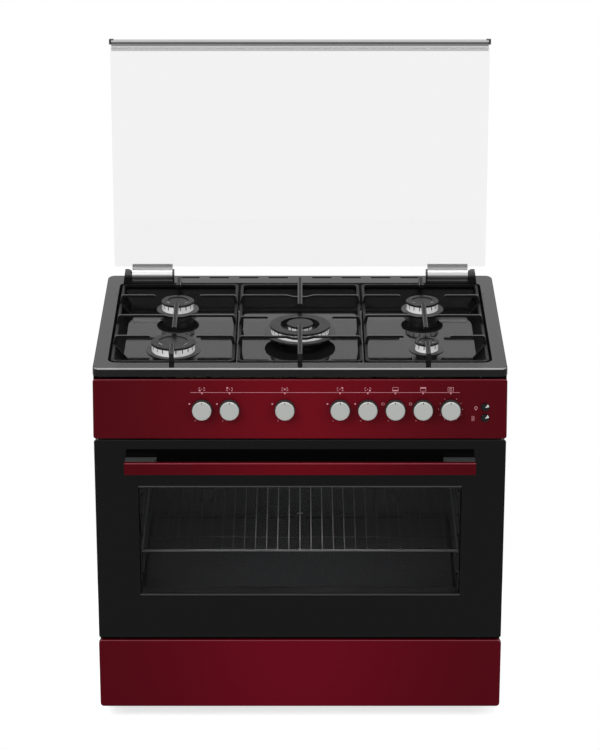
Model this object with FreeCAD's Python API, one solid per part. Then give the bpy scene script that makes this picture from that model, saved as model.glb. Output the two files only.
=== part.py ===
import FreeCAD, Part
import math
import os

from FreeCAD import Vector

# Free-standing 90 cm gas cooker: glass lid, five burners, gas oven and a storage drawer.
# Millimetres, +Z up, +X to the right seen from the front, +Y to the back. The sizes are
# measured from the front face of the oven door and from the floor; save() puts the origin
# under the middle of the whole cooker.

os.makedirs("parts", exist_ok=True)

# Common values
overrun = 4.0
sheet = 1.5
clearance = 0.3
running_fit = 0.05
touch_gap = 0.5
screw_radius = 3.5
screw_head = 2.0
screw_sides = 6

# Stack of the front, from the floor up
foot_height = 37.0
drawer_height = 166.0
drawer_gap = 8.0
door_height = 477.0
panel_gap = 4.0
panel_rise = 131.0
hob_gap = 8.0
hob_skirt = 19.0
drawer_z = foot_height
door_z = drawer_z + drawer_height + drawer_gap
panel_z = door_z + door_height + panel_gap
hob_z = panel_z + panel_rise + hob_gap + hob_skirt

# Width and depth
width = 900.0
half = width / 2
hob_depth = 600.0
panel_lean = math.radians(9.0)
hob_overhang = 4.4
hob_front = panel_rise * math.tan(panel_lean) - hob_overhang
hob_rear = hob_front + hob_depth

# Oven door
door_side_inset = 1.0
outer_glass = 4.0
inner_glass = 4.0
door_frame_depth = 32.0
door_depth = outer_glass + door_frame_depth + inner_glass
door_gap = 4.0
cabinet_front = door_depth + door_gap
frame_inset = 5.0
window_side = 98.0
window_half = half - window_side
window_low = 107.0
window_drop = 111.0
window_high = door_height - window_drop
inner_glass_side = 65.0
inner_glass_half = half - inner_glass_side
inner_glass_low = 42.0
inner_glass_drop = 45.0
inner_glass_high = door_height - inner_glass_drop
glass_corner = 4.0
pivot_y = 12.0
pivot_rise = 15.0
pivot_z = door_z + pivot_rise
pivot_pin = 4.0
hinge_side = 120.0
hinge_x = half - hinge_side
hinge_arm = 6.0
hinge_arm_radius = 6.5
hinge_notch = 18.0
hinge_notch_rise = 9.0
hinge_cheek = 4.0
hinge_cheek_height = 30.0
hinge_box_width = 22.0
hinge_box_depth = 52.0
hinge_box_height = 34.0
door_vent_count = 12
door_vent_length = 28.0
door_vent_width = 5.0
door_vent_side = 90.0
door_vent_pitch = (width - 2 * door_vent_side) / door_vent_count

# Door handle
handle_side = 68.0
handle_half = half - handle_side
handle_drop = 65.0
handle_low = door_height - handle_drop
handle_height = 28.0
handle_front = 42.0
handle_thick = 10.0
handle_corner = 3.0
bracket_width = 69.0
bracket_inset = 3.0
bracket_skew = 6.0

# Drawer
drawer_lip = 10.0
drawer_corner = 8.0
drawer_sheet = 1.2
box_side = 55.0
box_half = half - box_side
box_rear_room = 100.0
box_depth = hob_depth - box_rear_room
box_low = 8.0
box_high = 148.0
box_lip = 11.0
box_bracket_side = 95.0
box_bracket_x = box_half - box_bracket_side
box_bracket_width = 22.0
runner_gap = 4.0
runner_flange = 8.0
runner_start = 52.0
runner_rear_room = 90.0
runner_length = hob_depth - runner_rear_room
drawer_travel = 350.0

# Cabinet
side_sheet = 1.0
wing_drawer_front = 20.0
wing_drawer_gap = 18.0
wing_drawer_top = door_z - wing_drawer_gap
wing_panel_overlap = 8.0
side_top_inset = 10.0
rear_overhang = 22.4
cabinet_rear = hob_rear - rear_overhang
rear_flange = 16.0
back_low_rise = 23.0
back_high_drop = 24.0
back_low = drawer_z + back_low_rise
back_high = hob_z - back_high_drop
louvre_rows = 4
louvre_columns = 5
louvre_length = 90.0
louvre_height = 6.0
louvre_side = 100.0
louvre_pitch_x = (width - 2 * louvre_side) / louvre_columns
louvre_pitch_z = 22.0
louvre_drop = 136.0
louvre_low = back_high - louvre_drop
base_lip = 18.0
frame_overlap = 11.0
frame_drop = 13.0
frame_top = panel_z + frame_overlap
frame_low = door_z - frame_drop
frame_return = 16.0
foot_radius = 18.0
foot_top_radius = 15.0
foot_stem = 5.0
foot_stem_rise = 14.0
foot_nut = 9.0
foot_nut_height = 6.0
foot_side = 36.0
foot_x = half - foot_side
foot_front = 95.0
foot_rear_inset = 62.0

# Oven
cavity_side = 90.0
cavity_half = half - cavity_side
cavity_rise = 60.0
cavity_margin = 127.0
cavity_height = door_height - cavity_margin
cavity_low = door_z + cavity_rise
cavity_high = cavity_low + cavity_height
rear_room = 92.4
cavity_corner = 14.0
liner_flange = 12.0
runner_rib = 11.0
runner_rib_height = 6.0
runner_rib_inset = 18.0
shelf_count = 5
shelf_pitch = 48.0
shelf_first = 71.0
rack_shelf = 1
dimple_radius = 11.0
dimple_depth = 3.0
dimple_pitch = 26.0
dimple_share = 0.6
dimple_x = cavity_half * dimple_share
dimple_rise = 52.0
blanket = 17.0
gasket_thick = 3.7
gasket_width = 8.0
gasket_inset = 2.0
floor_plate_rise = 24.0
floor_plate_half = cavity_half - cavity_corner - sheet
floor_plate_inset = 16.0
floor_slot_length = 60.0
floor_slot_width = 8.0
floor_slot_count = 8
floor_slot_pitch = 2 * floor_plate_half / floor_slot_count
rack_wire = 3.0
rack_bar = 1.5
rack_pitch = 25.0
rack_side = 8.0
rack_half = cavity_half - rack_side
rack_inset = 22.0
rack_lip = 14.0
wire_sides = 8
thin_sides = 4
oven_burner_radius = 9.0
oven_burner_rise = 12.5
oven_burner_front = 80.0
oven_burner_half = 150.0
grill_half = 140.0
grill_depth = 230.0
grill_front = 110.0
grill_height = 14.0
grill_drop = 8.0
grill_bracket = 16.0
grill_slot_count = 9
grill_slot = 3.0
grill_tube = 8.0
lamp_side = 110.0
lamp_x = lamp_side - cavity_half
lamp_drop = 60.0
lamp_rise = cavity_height - lamp_drop
lamp_radius = 20.0
lamp_neck = 16.0
lamp_depth = 18.0
lamp_socket = 34.0

# Hob
hob_corner = 17.0
hob_edge = 5.0
well_side = 31.0
well_half = half - well_side
well_front = 35.0
well_rear_margin = 54.0
well_rear = hob_depth - well_rear_margin
well_corner = 20.0
well_slope = 28.0
well_slope_rear = 54.0
well_floor_half = well_half - well_slope
well_floor_front = well_front + well_slope
well_floor_rear = well_rear - well_slope_rear
well_depth = 35.0
well_floor_corner = 14.0
vent_length = 46.0
vent_width = 8.0
vent_margin = 18.0
vent_y = hob_depth - vent_margin
vent_pitch = 69.0
vent_middle = 102.0
vent_count = 4

# Burners
burner_cap_top = 6.0
burner_seat = 14.0
burner_flange = 3.0
burner_crown_top = 2.0
burner_wall = 6.0
burner_base = 2.5
burner_neck = 9.0
burner_neck_bore = 6.5
burner_neck_drop = 22.0
pot_wall = 2.0
pot_depth = 60.0
pot_step = 14.0
jet_hole = 2.0
pot_collar = 8.0
pot_collar_thick = 2.0
pot_gap = 0.5
port_width = 2.2
port_depth = 9.0
cap_chamfer = 1.2
cap_spigot = 3.0
cap_spigot_wall = 3.0
cap_dish_share = 0.67
cap_dish = 1.4
cap_dish_slope = 3.0
centre_ring = 67.5
centre_ring_wall = 5.0
centre_ring_inner = 43.0
centre_crown = 27.0
centre_crown_top = 3.0
centre_cap = 29.5
centre_cap_top = 7.0
centre_flange = 79.5
centre_pot = 44.0
electrode = 2.0
electrode_gap = 3.6
electrode_drop = 3.0
electrode_length = 46.0
head_lift = 40.0
cap_lift = 30.0
centre_port_count = 30
centre_inner_port_count = 12

# Pan supports
support_gap = 7.0
support_outer = well_half - support_gap
support_inner = 143.0
support_centre = 137.0
support_front_gap = 5.0
support_rear_gap = 10.0
support_front = well_front + support_front_gap
support_rear = well_rear - support_rear_gap
support_corner = 14.0
support_bar = 6.0
support_low = 5.0
support_high = 1.0
finger_top = 20.0
finger_width = 5.0
finger_height = 5.0
finger_lean = 4.0
finger_bend = 3.0
rod_width = 10.5
rod_height = 7.0
rod_edge = 2.5
finger_front = 150.0
finger_rear_room = 126.0
finger_rear = support_rear - finger_rear_room
finger_middle = (finger_front + finger_rear) / 2
finger_reach = 51.0
finger_dip = 4.0
finger_dip_half = 30.0
rod_front_tip = 115.0
rod_cap_clear = 1.5
rod_middle_reach = 79.0
rod_rear_length = 59.0
rod_middle_start = finger_middle - rod_middle_reach
rod_middle_end = finger_middle + rod_middle_reach
rod_rear_tip = support_rear - rod_rear_length
centre_finger_shift = 3.0
centre_finger_offset = 10.0
centre_finger_front = finger_front - centre_finger_shift
centre_finger_middle = finger_middle - centre_finger_offset
centre_reach = 72.0
centre_rod_length = 185.0
centre_rod_rear = support_rear - centre_rod_length
centre_rod_front = 216.0
leg_width = 8.0
leg_clear = 2.0
support_lift = 60.0

# The four small burners: place on the hob, cap, crown and flange radius, port count
burner_offset = 2.5
burner_x = (support_outer + support_inner) / 2 + burner_offset
centre_burner_offset = 18.0
centre_y = finger_middle - centre_burner_offset
front_left_port_count = 20
rear_port_count = 16
front_right_port_count = 12
burners = {
    "front_left": (-burner_x, 150.0, 49.5, 48.0, 59.5, front_left_port_count),
    "rear_left": (-burner_x, finger_rear, 37.5, 36.0, 48.0, rear_port_count),
    "rear_right": (burner_x, finger_rear, 37.5, 36.0, 48.0, rear_port_count),
    "front_right": (burner_x, 153.0, 27.0, 25.5, 38.0, front_right_port_count),
}

# Lid
lid_axis_margin = 44.0
lid_axis_y = hob_depth - lid_axis_margin
lid_axis_rise = 17.0
lid_lean = math.radians(2.0)
lid_side = 17.5
lid_half = half - lid_side
lid_length = lid_axis_y
lid_glass = 4.0
lid_glass_back = 11.0
lid_glass_start = 16.0
lid_glass_corner = 5.0
clamp_side = 59.0
clamp_width = 93.5
clamp_outer = half - clamp_side
clamp_inner = clamp_outer - clamp_width
clamp_tube = 12.0
clamp_jaw = 2.3
clamp_high = 21.0
clamp_low = -5.0
lid_pin = 4.0
ear_outer = 20.0
ear_top_outer = 15.5
ear_top_inner = 9.0
ear_shoulder = 4.0
ear_inner = 3.5
ear_gap = 0.6
ear_radius = 13.0
ear_foot = 3.0
ear_foot_depth = 15.0
profile_height = 25.0
profile_thick = 10.0
profile_slot = 12.0
profile_groove = 2.0
profile_inset = 3.0
profile_half = lid_half - profile_inset
end_cap = 5.0
lid_travel = math.radians(92.0)

# Control panel, knobs and buttons; heights run up the slope from the panel's bottom edge
panel_depth = 14.0
panel_corner = 6.0
panel_edge = 2.5
knob_share = 1 / 15
knob_datum_share = -0.55
knob_pitch = width * knob_share
knob_datum = knob_pitch * knob_datum_share
knob_slots = {
    "front_left": -3, "rear_left": -2, "centre": 0, "rear_right": 2,
    "front_right": 3, "oven": 4, "grill": 5, "timer": 6,
}
knob_height = 22.5
knob_radius = 20.5
knob_face = 18.8
knob_base = 22.2
knob_base_height = 4.5
knob_gap = 0.6
knob_wall = 2.0
knob_hub = 7.0
knob_notch = 1.6
knob_notch_length = 5.0
knob_notch_depth = 1.0
spindle = 4.0
spindle_hole = 6.0
spindle_depth = 34.0
button_side = 48.0
button_x = half - button_side
button_low = 47.0
button_high = 71.0
button_radius = 8.5
button_gap = 0.5
button_out = 5.0
button_in = 1.0
button_crown = 1.2
button_stem = 3.0
button_stem_length = 16.0
button_travel = 3.0

# Gas taps, rail and pipes
tap_radius = 14.0
tap_front = 22.0
tap_length = 42.0
tap_boss = 10.0
tap_saddle = 9.0
rail_radius = 9.0
rail_depth = 45.0
rail_rise = 40.0
rail_end = 32.0
rail_side = 35.0
rail_left = knob_datum + knob_slots["front_left"] * knob_pitch - rail_end
rail_right = half - rail_side
inlet_radius = 10.5
inlet_reach = 16.0
inlet_nut = 15.0
inlet_nut_height = 5.0
pipe_radius = 4.0
pipe_bend = 16.0
pipe_sides = 8
pipe_run = 42.0
pipe_drop = 45.0
oven_pipe_rear = 26.0
grill_pipe_rear = 41.0
timer_size = 44.0
timer_front = 18.0
timer_depth = 40.0
timer_low = 51.0
switch_half = 14.0
switch_margin = 12.0
switch_depth = 26.0
gland_side = 70.0
gland_rise = 143.0
gland_x = gland_side - half
gland_z = drawer_z + gland_rise
gland_radius = 9.0
gland_bore = 5.0
gland_length = 12.0
gland_flange = 14.0
gland_flange_thick = 3.0

row_middle = (hob_rear - handle_front) / 2


def save(name, solids):
    """Move the solids to the cooker's own origin and write them as one named file."""
    shape = solids[0] if len(solids) == 1 else Part.makeCompound(solids)
    shape = shape.copy()
    shape.translate(Vector(0, -row_middle, 0))
    shape.exportStep("parts/" + name + ".step")


def box(x0, x1, y0, y1, z0, z1):
    """A block between two corners."""
    return Part.makeBox(x1 - x0, y1 - y0, z1 - z0, Vector(x0, y0, z0))


def rod(radius, start, end):
    """A round bar from one point to another."""
    return Part.makeCylinder(radius, (end - start).Length, start, end - start)


def bar(radius, start, end, sides):
    """A straight bar of a many-sided section from one point to another."""
    turns = [2 * math.pi * (index + 1 / 2) / sides for index in range(sides)]
    corners = [Vector(radius * math.cos(turn), radius * math.sin(turn), 0) for turn in turns]
    face = Part.Face(Part.makePolygon(corners + [corners[0]]))
    solid = face.extrude(Vector(0, 0, (end - start).Length))
    turn = FreeCAD.Rotation(Vector(0, 0, 1), end - start)
    solid.Placement = FreeCAD.Placement(start, turn)
    return solid


def prism(points, along):
    """A straight-sided solid from a closed outline and the way it is drawn out."""
    wire = Part.makePolygon([Vector(*point) for point in points] + [Vector(*points[0])])
    return Part.Face(wire).extrude(Vector(*along))


def revolve(profile, centre):
    """A turned piece: the profile holds (radius, height) pairs, turned about a vertical axis."""
    points = [Vector(radius, 0, height) for radius, height in profile]
    wire = Part.makePolygon(points + [points[0]])
    solid = Part.Face(wire).revolve(Vector(0, 0, 0), Vector(0, 0, 1), 360)
    solid.translate(centre)
    return solid


def fuse(first, others):
    """Join solids into one and drop the seams between flush faces."""
    return first.multiFuse(list(others)).removeSplitter()


def rounded(x0, x1, y0, y1, z, radius):
    """A closed rounded rectangle in a level plane."""
    bend = radius * (1 - math.sqrt(2) / 2)
    corners = [
        (Vector(x1 - radius, y0, z), Vector(x1 - bend, y0 + bend, z), Vector(x1, y0 + radius, z)),
        (Vector(x1, y1 - radius, z), Vector(x1 - bend, y1 - bend, z), Vector(x1 - radius, y1, z)),
        (Vector(x0 + radius, y1, z), Vector(x0 + bend, y1 - bend, z), Vector(x0, y1 - radius, z)),
        (Vector(x0, y0 + radius, z), Vector(x0 + bend, y0 + bend, z), Vector(x0 + radius, y0, z)),
    ]
    edges = []
    for index, corner in enumerate(corners):
        edges.append(Part.Arc(*corner).toShape())
        following = corners[(index + 1) % len(corners)]
        edges.append(Part.makeLine(corner[2], following[0]))
    return Part.Wire(edges)


def slab(x0, x1, y0, y1, z0, z1, radius):
    """A level plate with rounded corners."""
    return Part.Face(rounded(x0, x1, y0, y1, z0, radius)).extrude(Vector(0, 0, z1 - z0))


def upright_slab(x0, x1, z0, z1, y0, y1, radius):
    """An upright plate facing the front, with rounded corners."""
    plate = slab(x0, x1, -z1, -z0, y0, y1, radius)
    plate.rotate(Vector(0, 0, 0), Vector(1, 0, 0), -90)
    return plate


def round_edges(solid, radius, chosen):
    """Round the edges of a solid that the test picks."""
    edges = [edge for edge in solid.Edges if chosen(edge)]
    return solid.makeFillet(radius, edges)


def near(value, target):
    """Tell whether two places are the same."""
    return abs(value - target) < sheet / 100


def mirrored(solid):
    """The same piece for the other side of the cooker."""
    return solid.mirror(Vector(0, 0, 0), Vector(1, 0, 0))


def lean(solid):
    """Lean a piece drawn on an upright panel back onto the sloping panel."""
    solid = solid.copy()
    solid.rotate(Vector(0, 0, 0), Vector(1, 0, 0), -math.degrees(panel_lean))
    solid.translate(Vector(0, 0, panel_z))
    return solid


def lid_place(solid):
    """Turn a piece drawn on an upright lid about its hinge to the open lid's lean."""
    solid = solid.copy()
    solid.rotate(Vector(0, 0, 0), Vector(1, 0, 0), -math.degrees(lid_lean))
    solid.translate(Vector(0, hob_front + lid_axis_y, hob_z + lid_axis_rise))
    return solid


def bent_pipe(points, radius, bend):
    """A pipe of an eight-sided section along straight runs joined by tangent bends."""
    places = [Vector(*point) for point in points]
    edges = []
    start = places[0]
    for before, corner, after in zip(places, places[1:], places[2:]):
        arriving = (corner - before).normalize()
        leaving = (after - corner).normalize()
        turn = arriving.getAngle(leaving)
        back = bend * math.tan(turn / 2)
        entry = corner - arriving * back
        leave = corner + leaving * back
        inward = (leaving - arriving).normalize()
        middle = corner + inward * (bend / math.cos(turn / 2) - bend)
        edges.append(Part.makeLine(start, entry))
        edges.append(Part.Arc(entry, middle, leave).toShape())
        start = leave
    edges.append(Part.makeLine(start, places[-1]))
    path = Part.Wire(edges)
    turns = [2 * math.pi * (index + 1 / 2) / pipe_sides for index in range(pipe_sides)]
    turn = FreeCAD.Rotation(Vector(0, 0, 1), places[1] - places[0])
    corners = [places[0] + turn.multVec(Vector(radius * math.cos(angle), radius * math.sin(angle), 0))
               for angle in turns]
    ring = Part.makePolygon(corners + [corners[0]])
    return path.makePipeShell([ring], True, False)


def turned(profile, place, axis):
    """A turned piece whose profile is (radius, height) pairs along any axis."""
    solid = revolve(profile, Vector(0, 0, 0))
    turn = FreeCAD.Rotation(Vector(0, 0, 1), axis)
    solid.Placement = FreeCAD.Placement(place, turn).multiply(solid.Placement)
    return solid


side_outer = half - sheet
side_inner = side_outer - side_sheet
back_face = cabinet_rear - side_sheet
frame_face = cabinet_front
frame_back = frame_face + sheet
cavity_front = frame_back
cavity_rear = back_face - rear_room
panel_slope = math.tan(panel_lean)
backward = Vector(0, 1, 0)
upward = Vector(0, 0, 1)


def side_panel():
    """Right side sheet with wings that reach forward beside the drawer and the panel."""
    top = hob_z - side_top_inset
    wing_low = panel_z + panel_gap
    wing_y = panel_depth - wing_panel_overlap
    shoulder = hob_z - hob_skirt - touch_gap
    behind_corner = hob_front + hob_corner + touch_gap
    outline = [
        (side_inner, wing_drawer_front, drawer_z),
        (side_inner, wing_drawer_front, wing_drawer_top),
        (side_inner, cabinet_front, wing_drawer_top),
        (side_inner, cabinet_front, wing_low),
        (side_inner, wing_y + panel_gap * panel_slope, wing_low),
        (side_inner, wing_y + (shoulder - panel_z) * panel_slope, shoulder),
        (side_inner, behind_corner, shoulder),
        (side_inner, behind_corner, top),
        (side_inner, back_face, top),
        (side_inner, back_face, drawer_z),
    ]
    sheet_part = prism(outline, (side_sheet, 0, 0))
    flange = box(side_inner - rear_flange, side_inner, back_face - side_sheet, back_face,
                 drawer_z + side_sheet, top)
    return fuse(sheet_part, [flange])


def back_panel():
    """Rear sheet with pressed louvre slots, the gas inlet hole and the power gland hole."""
    panel = box(-side_outer, side_outer, back_face, cabinet_rear, back_low, back_high)
    cuts = []
    for row in range(louvre_rows):
        for column in range(louvre_columns):
            x = (column - (louvre_columns - 1) / 2) * louvre_pitch_x
            z = louvre_low + row * louvre_pitch_z
            cuts.append(box(x - louvre_length / 2, x + louvre_length / 2, back_face - overrun,
                            cabinet_rear + overrun, z, z + louvre_height))
    rail = rail_place()
    cuts.append(rod(rail_radius + clearance, Vector(rail_right, back_face - overrun, rail.z),
                    Vector(rail_right, cabinet_rear + overrun, rail.z)))
    cuts.append(rod(gland_radius, Vector(gland_x, back_face - overrun, gland_z),
                    Vector(gland_x, cabinet_rear + overrun, gland_z)))
    return panel.cut(Part.makeCompound(cuts))


def power_gland():
    """Cable gland in the rear sheet: the bore takes the mains lead."""
    outside = rod(gland_flange, Vector(gland_x, cabinet_rear, gland_z),
                  Vector(gland_x, cabinet_rear + gland_flange_thick, gland_z))
    barrel = rod(gland_radius, Vector(gland_x, back_face - gland_length, gland_z),
                 Vector(gland_x, cabinet_rear, gland_z))
    bore = rod(gland_bore, Vector(gland_x, back_face - gland_length - overrun, gland_z),
               Vector(gland_x, cabinet_rear + gland_flange_thick + overrun, gland_z))
    return fuse(outside, [barrel]).cut(bore)


def panel_screws():
    """Six-sided screw heads that hold the rear sheet to the side panels."""
    heads = []
    x = side_inner - rear_flange / 2
    rows = 5
    for row in range(rows):
        share = row / (rows - 1)
        z = back_low + rear_flange + (back_high - back_low - 2 * rear_flange) * share
        for side in (-x, x):
            start = Vector(side, cabinet_rear, z)
            heads.append(bar(screw_radius, start, start + backward * screw_head, screw_sides))
    return heads


def base_pan():
    """Bottom tray with turned-up edges and holes for the feet."""
    y0 = cabinet_front + sheet
    lift = drawer_z + side_sheet
    pan = box(-side_inner, side_inner, y0, back_face, drawer_z, lift)
    lips = [
        box(-side_inner, side_inner, y0, y0 + side_sheet, lift, drawer_z + box_low / 2),
        box(side_inner - side_sheet, side_inner, y0 + base_lip, back_face - rear_flange, lift,
            lift + base_lip),
        box(-side_inner, side_sheet - side_inner, y0 + base_lip, back_face - rear_flange, lift,
            lift + base_lip),
    ]
    holes = [rod(foot_stem + clearance, Vector(x, y, drawer_z - overrun),
                 Vector(x, y, lift + overrun)) for x, y in foot_places()]
    return fuse(pan, lips).cut(Part.makeCompound(holes))


def foot_places():
    """Where the four feet stand."""
    rear = cabinet_rear - foot_rear_inset
    return [(x, y) for x in (-foot_x, foot_x) for y in (foot_front, rear)]


def adjustable_feet():
    """Moulded screw-in feet, each with its stem and lock nut."""
    solids = []
    for x, y in foot_places():
        top = foot_height + side_sheet
        profile = [(0, 0), (foot_radius, 0), (foot_radius, foot_height / 3),
                   (foot_top_radius, foot_height / 2), (foot_top_radius, foot_height),
                   (foot_stem, foot_height), (foot_stem, foot_height + foot_stem_rise),
                   (0, foot_height + foot_stem_rise)]
        solids.append(revolve(profile, Vector(x, y, 0)))
        nut = [Vector(foot_nut * math.cos(math.radians(60 * i)),
                      foot_nut * math.sin(math.radians(60 * i)), top) for i in range(6)]
        nut_face = Part.Face(Part.makePolygon(nut + [nut[0]]))
        nut_solid = nut_face.extrude(Vector(0, 0, foot_nut_height))
        nut_solid = nut_solid.cut(rod(foot_stem, Vector(0, 0, 0), Vector(0, 0, hob_z)))
        nut_solid.translate(Vector(x, y, 0))
        solids.append(nut_solid)
    return solids


def front_frame():
    """Sheet frame round the oven mouth, folded back at its edges, slotted for the hinges."""
    fold = frame_face + frame_return
    plate = box(-side_inner, side_inner, frame_face, frame_back, frame_low, frame_top)
    folds = [
        box(-side_inner, side_inner, frame_back, fold, frame_top - sheet, frame_top),
        box(-side_inner, side_inner, frame_back, fold, frame_low, frame_low + sheet),
        box(side_inner - sheet, side_inner, frame_back, fold, frame_low + sheet,
            frame_top - sheet),
        box(-side_inner, sheet - side_inner, frame_back, fold, frame_low + sheet,
            frame_top - sheet),
    ]
    mouth = upright_slab(-cavity_half, cavity_half, cavity_low, cavity_high,
                         frame_face - overrun, frame_back + overrun, cavity_corner)
    slot_half = hinge_arm / 2 + touch_gap
    reach = hinge_arm_radius + touch_gap
    slots = [box(x - slot_half, x + slot_half, frame_face - overrun, frame_back + overrun,
                 pivot_z - reach, pivot_z + reach) for x in (-hinge_x, hinge_x)]
    return fuse(plate, folds).cut(Part.makeCompound([mouth] + slots))


def door_hinge_arms():
    """Hinge arms with their pins, held in pressed boxes behind the front frame."""
    solids = []
    for x in (-hinge_x, hinge_x):
        nose = rod(hinge_arm_radius, Vector(x - hinge_arm / 2, pivot_y, pivot_z),
                   Vector(x + hinge_arm / 2, pivot_y, pivot_z))
        arm = box(x - hinge_arm / 2, x + hinge_arm / 2, pivot_y,
                  frame_back + hinge_box_depth, pivot_z - hinge_arm_radius,
                  pivot_z + hinge_arm_radius)
        pin_reach = hinge_notch / 2 + hinge_cheek
        pin = rod(pivot_pin, Vector(x - pin_reach, pivot_y, pivot_z),
                  Vector(x + pin_reach, pivot_y, pivot_z))
        shell = box(x - hinge_box_width / 2, x + hinge_box_width / 2, frame_back,
                    frame_back + hinge_box_depth, pivot_z - hinge_box_height / 2,
                    pivot_z + hinge_box_height / 2)
        inside = box(x - hinge_box_width / 2 + sheet, x + hinge_box_width / 2 - sheet,
                     frame_back, frame_back + hinge_box_depth - sheet,
                     pivot_z - hinge_box_height / 2 + sheet,
                     pivot_z + hinge_box_height / 2 - sheet)
        solids.append(fuse(nose, [arm, pin, shell.cut(inside)]))
    return solids


def liner_outer(front, rear, extra):
    """The outside form of the oven liner, grown by a wall."""
    return upright_slab(-cavity_half - extra, cavity_half + extra, cavity_low - extra,
                        cavity_high + extra, front, rear, cavity_corner + extra)


def shelf_top(level):
    """Height of the top of a shelf runner."""
    return cavity_low + shelf_first + level * shelf_pitch


def rear_holes(front, rear):
    """Holes through the liner's rear for the two burner tubes and the lamp."""
    return Part.makeCompound([
        rod(oven_burner_radius + clearance, Vector(0, front, cavity_low + oven_burner_rise),
            Vector(0, rear, cavity_low + oven_burner_rise)),
        rod(grill_tube + clearance, Vector(0, front, grill_axis_z()),
            Vector(0, rear, grill_axis_z())),
        rod(lamp_neck, Vector(lamp_x, front, cavity_low + lamp_rise),
            Vector(lamp_x, rear, cavity_low + lamp_rise)),
    ])


def oven_liner():
    """Enamelled oven box with a front flange, pressed shelf runners and a dimpled rear."""
    shell = liner_outer(cavity_front, cavity_rear + sheet, sheet)
    flange = liner_outer(cavity_front, cavity_front + sheet, liner_flange)
    hollow = liner_outer(cavity_front - overrun, cavity_rear, 0)
    liner = fuse(shell, [flange]).cut(hollow)
    ribs = []
    for level in range(shelf_count):
        rib = box(cavity_half - runner_rib, cavity_half + sheet / 2,
                  cavity_front + runner_rib_inset, cavity_rear - runner_rib_inset,
                  shelf_top(level) - runner_rib_height, shelf_top(level))
        ribs.extend([rib, mirrored(rib)])
    for side in (-1, 1):
        for offset in (-dimple_pitch / 2, dimple_pitch / 2):
            place = Vector(side * dimple_x + offset, cavity_rear + sheet / 2,
                           cavity_low + dimple_rise)
            profile = [(0, 0), (dimple_radius, 0), (dimple_radius, sheet),
                       (dimple_radius * 2 / 3, dimple_depth + sheet / 2),
                       (0, dimple_depth + sheet / 2)]
            ribs.append(turned(profile, place, -backward))
    return fuse(liner, ribs).cut(rear_holes(cavity_rear - overrun, cavity_rear + overrun))


def insulation_blanket():
    """Mineral wool round the top, sides and rear of the oven."""
    grow = sheet + blanket
    front = cavity_front + sheet
    block = box(-cavity_half - grow, cavity_half + grow, front, cavity_rear + grow,
                cavity_low - sheet, cavity_high + grow)
    hollow = liner_outer(front - overrun, cavity_rear + sheet, sheet)
    lower = box(-cavity_half - sheet, cavity_half + sheet, front - overrun,
                cavity_rear + sheet, cavity_low - overrun, cavity_low + cavity_corner)
    wool = block.cut(Part.makeCompound([hollow]))
    wool = wool.cut(lower)
    return wool.cut(rear_holes(cavity_rear - overrun, cavity_rear + grow + overrun))


def oven_gasket():
    """Heat-proof seal round the oven mouth."""
    inner = gasket_inset
    outer = gasket_inset + gasket_width
    front = cabinet_front - gasket_thick
    ring = liner_outer(front, cabinet_front, outer)
    hole = liner_outer(front - overrun, cabinet_front + overrun, inner)
    return ring.cut(hole)


def oven_floor_plate():
    """Loose floor plate over the oven burner, on folded legs, slotted along both ends."""
    y0 = cavity_front + floor_plate_inset
    y1 = cavity_rear - floor_plate_inset
    top = cavity_low + floor_plate_rise
    plate = box(-floor_plate_half, floor_plate_half, y0, y1, top - sheet, top)
    leg = box(floor_plate_half - sheet, floor_plate_half, y0, y1, cavity_low, top - sheet)
    slots = []
    for end in (y0 + floor_plate_inset, y1 - floor_plate_inset - floor_slot_width):
        for index in range(floor_slot_count):
            x = (index - (floor_slot_count - 1) / 2) * floor_slot_pitch
            slots.append(box(x - floor_slot_length / 2, x + floor_slot_length / 2, end,
                             end + floor_slot_width, top - overrun, top + overrun))
    return fuse(plate, [leg, mirrored(leg)]).cut(Part.makeCompound(slots))


def oven_burner():
    """T-shaped tube burner under the floor plate, carried by the rear wall and a front foot."""
    z = cavity_low + oven_burner_rise
    front = cavity_front + oven_burner_front
    stem = rod(oven_burner_radius - clearance, Vector(0, front, z),
               Vector(0, cavity_rear + sheet + blanket, z))
    bar = rod(oven_burner_radius, Vector(-oven_burner_half, front, z),
              Vector(oven_burner_half, front, z))
    feet = [box(x - sheet, x + sheet, front - oven_burner_radius / 2,
                front + oven_burner_radius / 2, cavity_low, z)
            for x in (-oven_burner_half / 2, oven_burner_half / 2)]
    return fuse(stem, [bar] + feet)


def grill_axis_z():
    """Height of the grill burner's tube."""
    return cavity_high - grill_drop - grill_height / 2


def grill_burner():
    """Flat grill burner hung from the oven roof, slotted along its underside."""
    y0 = cavity_front + grill_front
    y1 = y0 + grill_depth
    top = cavity_high - grill_drop
    body = slab(-grill_half, grill_half, y0, y1, top - grill_height, top, grill_height)
    tube = rod(grill_tube, Vector(0, y1 - grill_height, grill_axis_z()),
               Vector(0, cavity_rear + sheet + blanket, grill_axis_z()))
    hangers = [box(x - grill_bracket / 2, x + grill_bracket / 2, y, y + sheet, top, cavity_high)
               for x in (-grill_half / 2, grill_half / 2)
               for y in (y0 + grill_bracket, y1 - grill_bracket)]
    pitch = grill_depth / (grill_slot_count + 1)
    slots = [box(-grill_half + grill_height, grill_half - grill_height,
                 y0 + pitch * (index + 1), y0 + pitch * (index + 1) + grill_slot,
                 top - grill_height - overrun, top - grill_height + grill_slot)
             for index in range(grill_slot_count)]
    return fuse(body, [tube] + hangers).cut(Part.makeCompound(slots))


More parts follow.
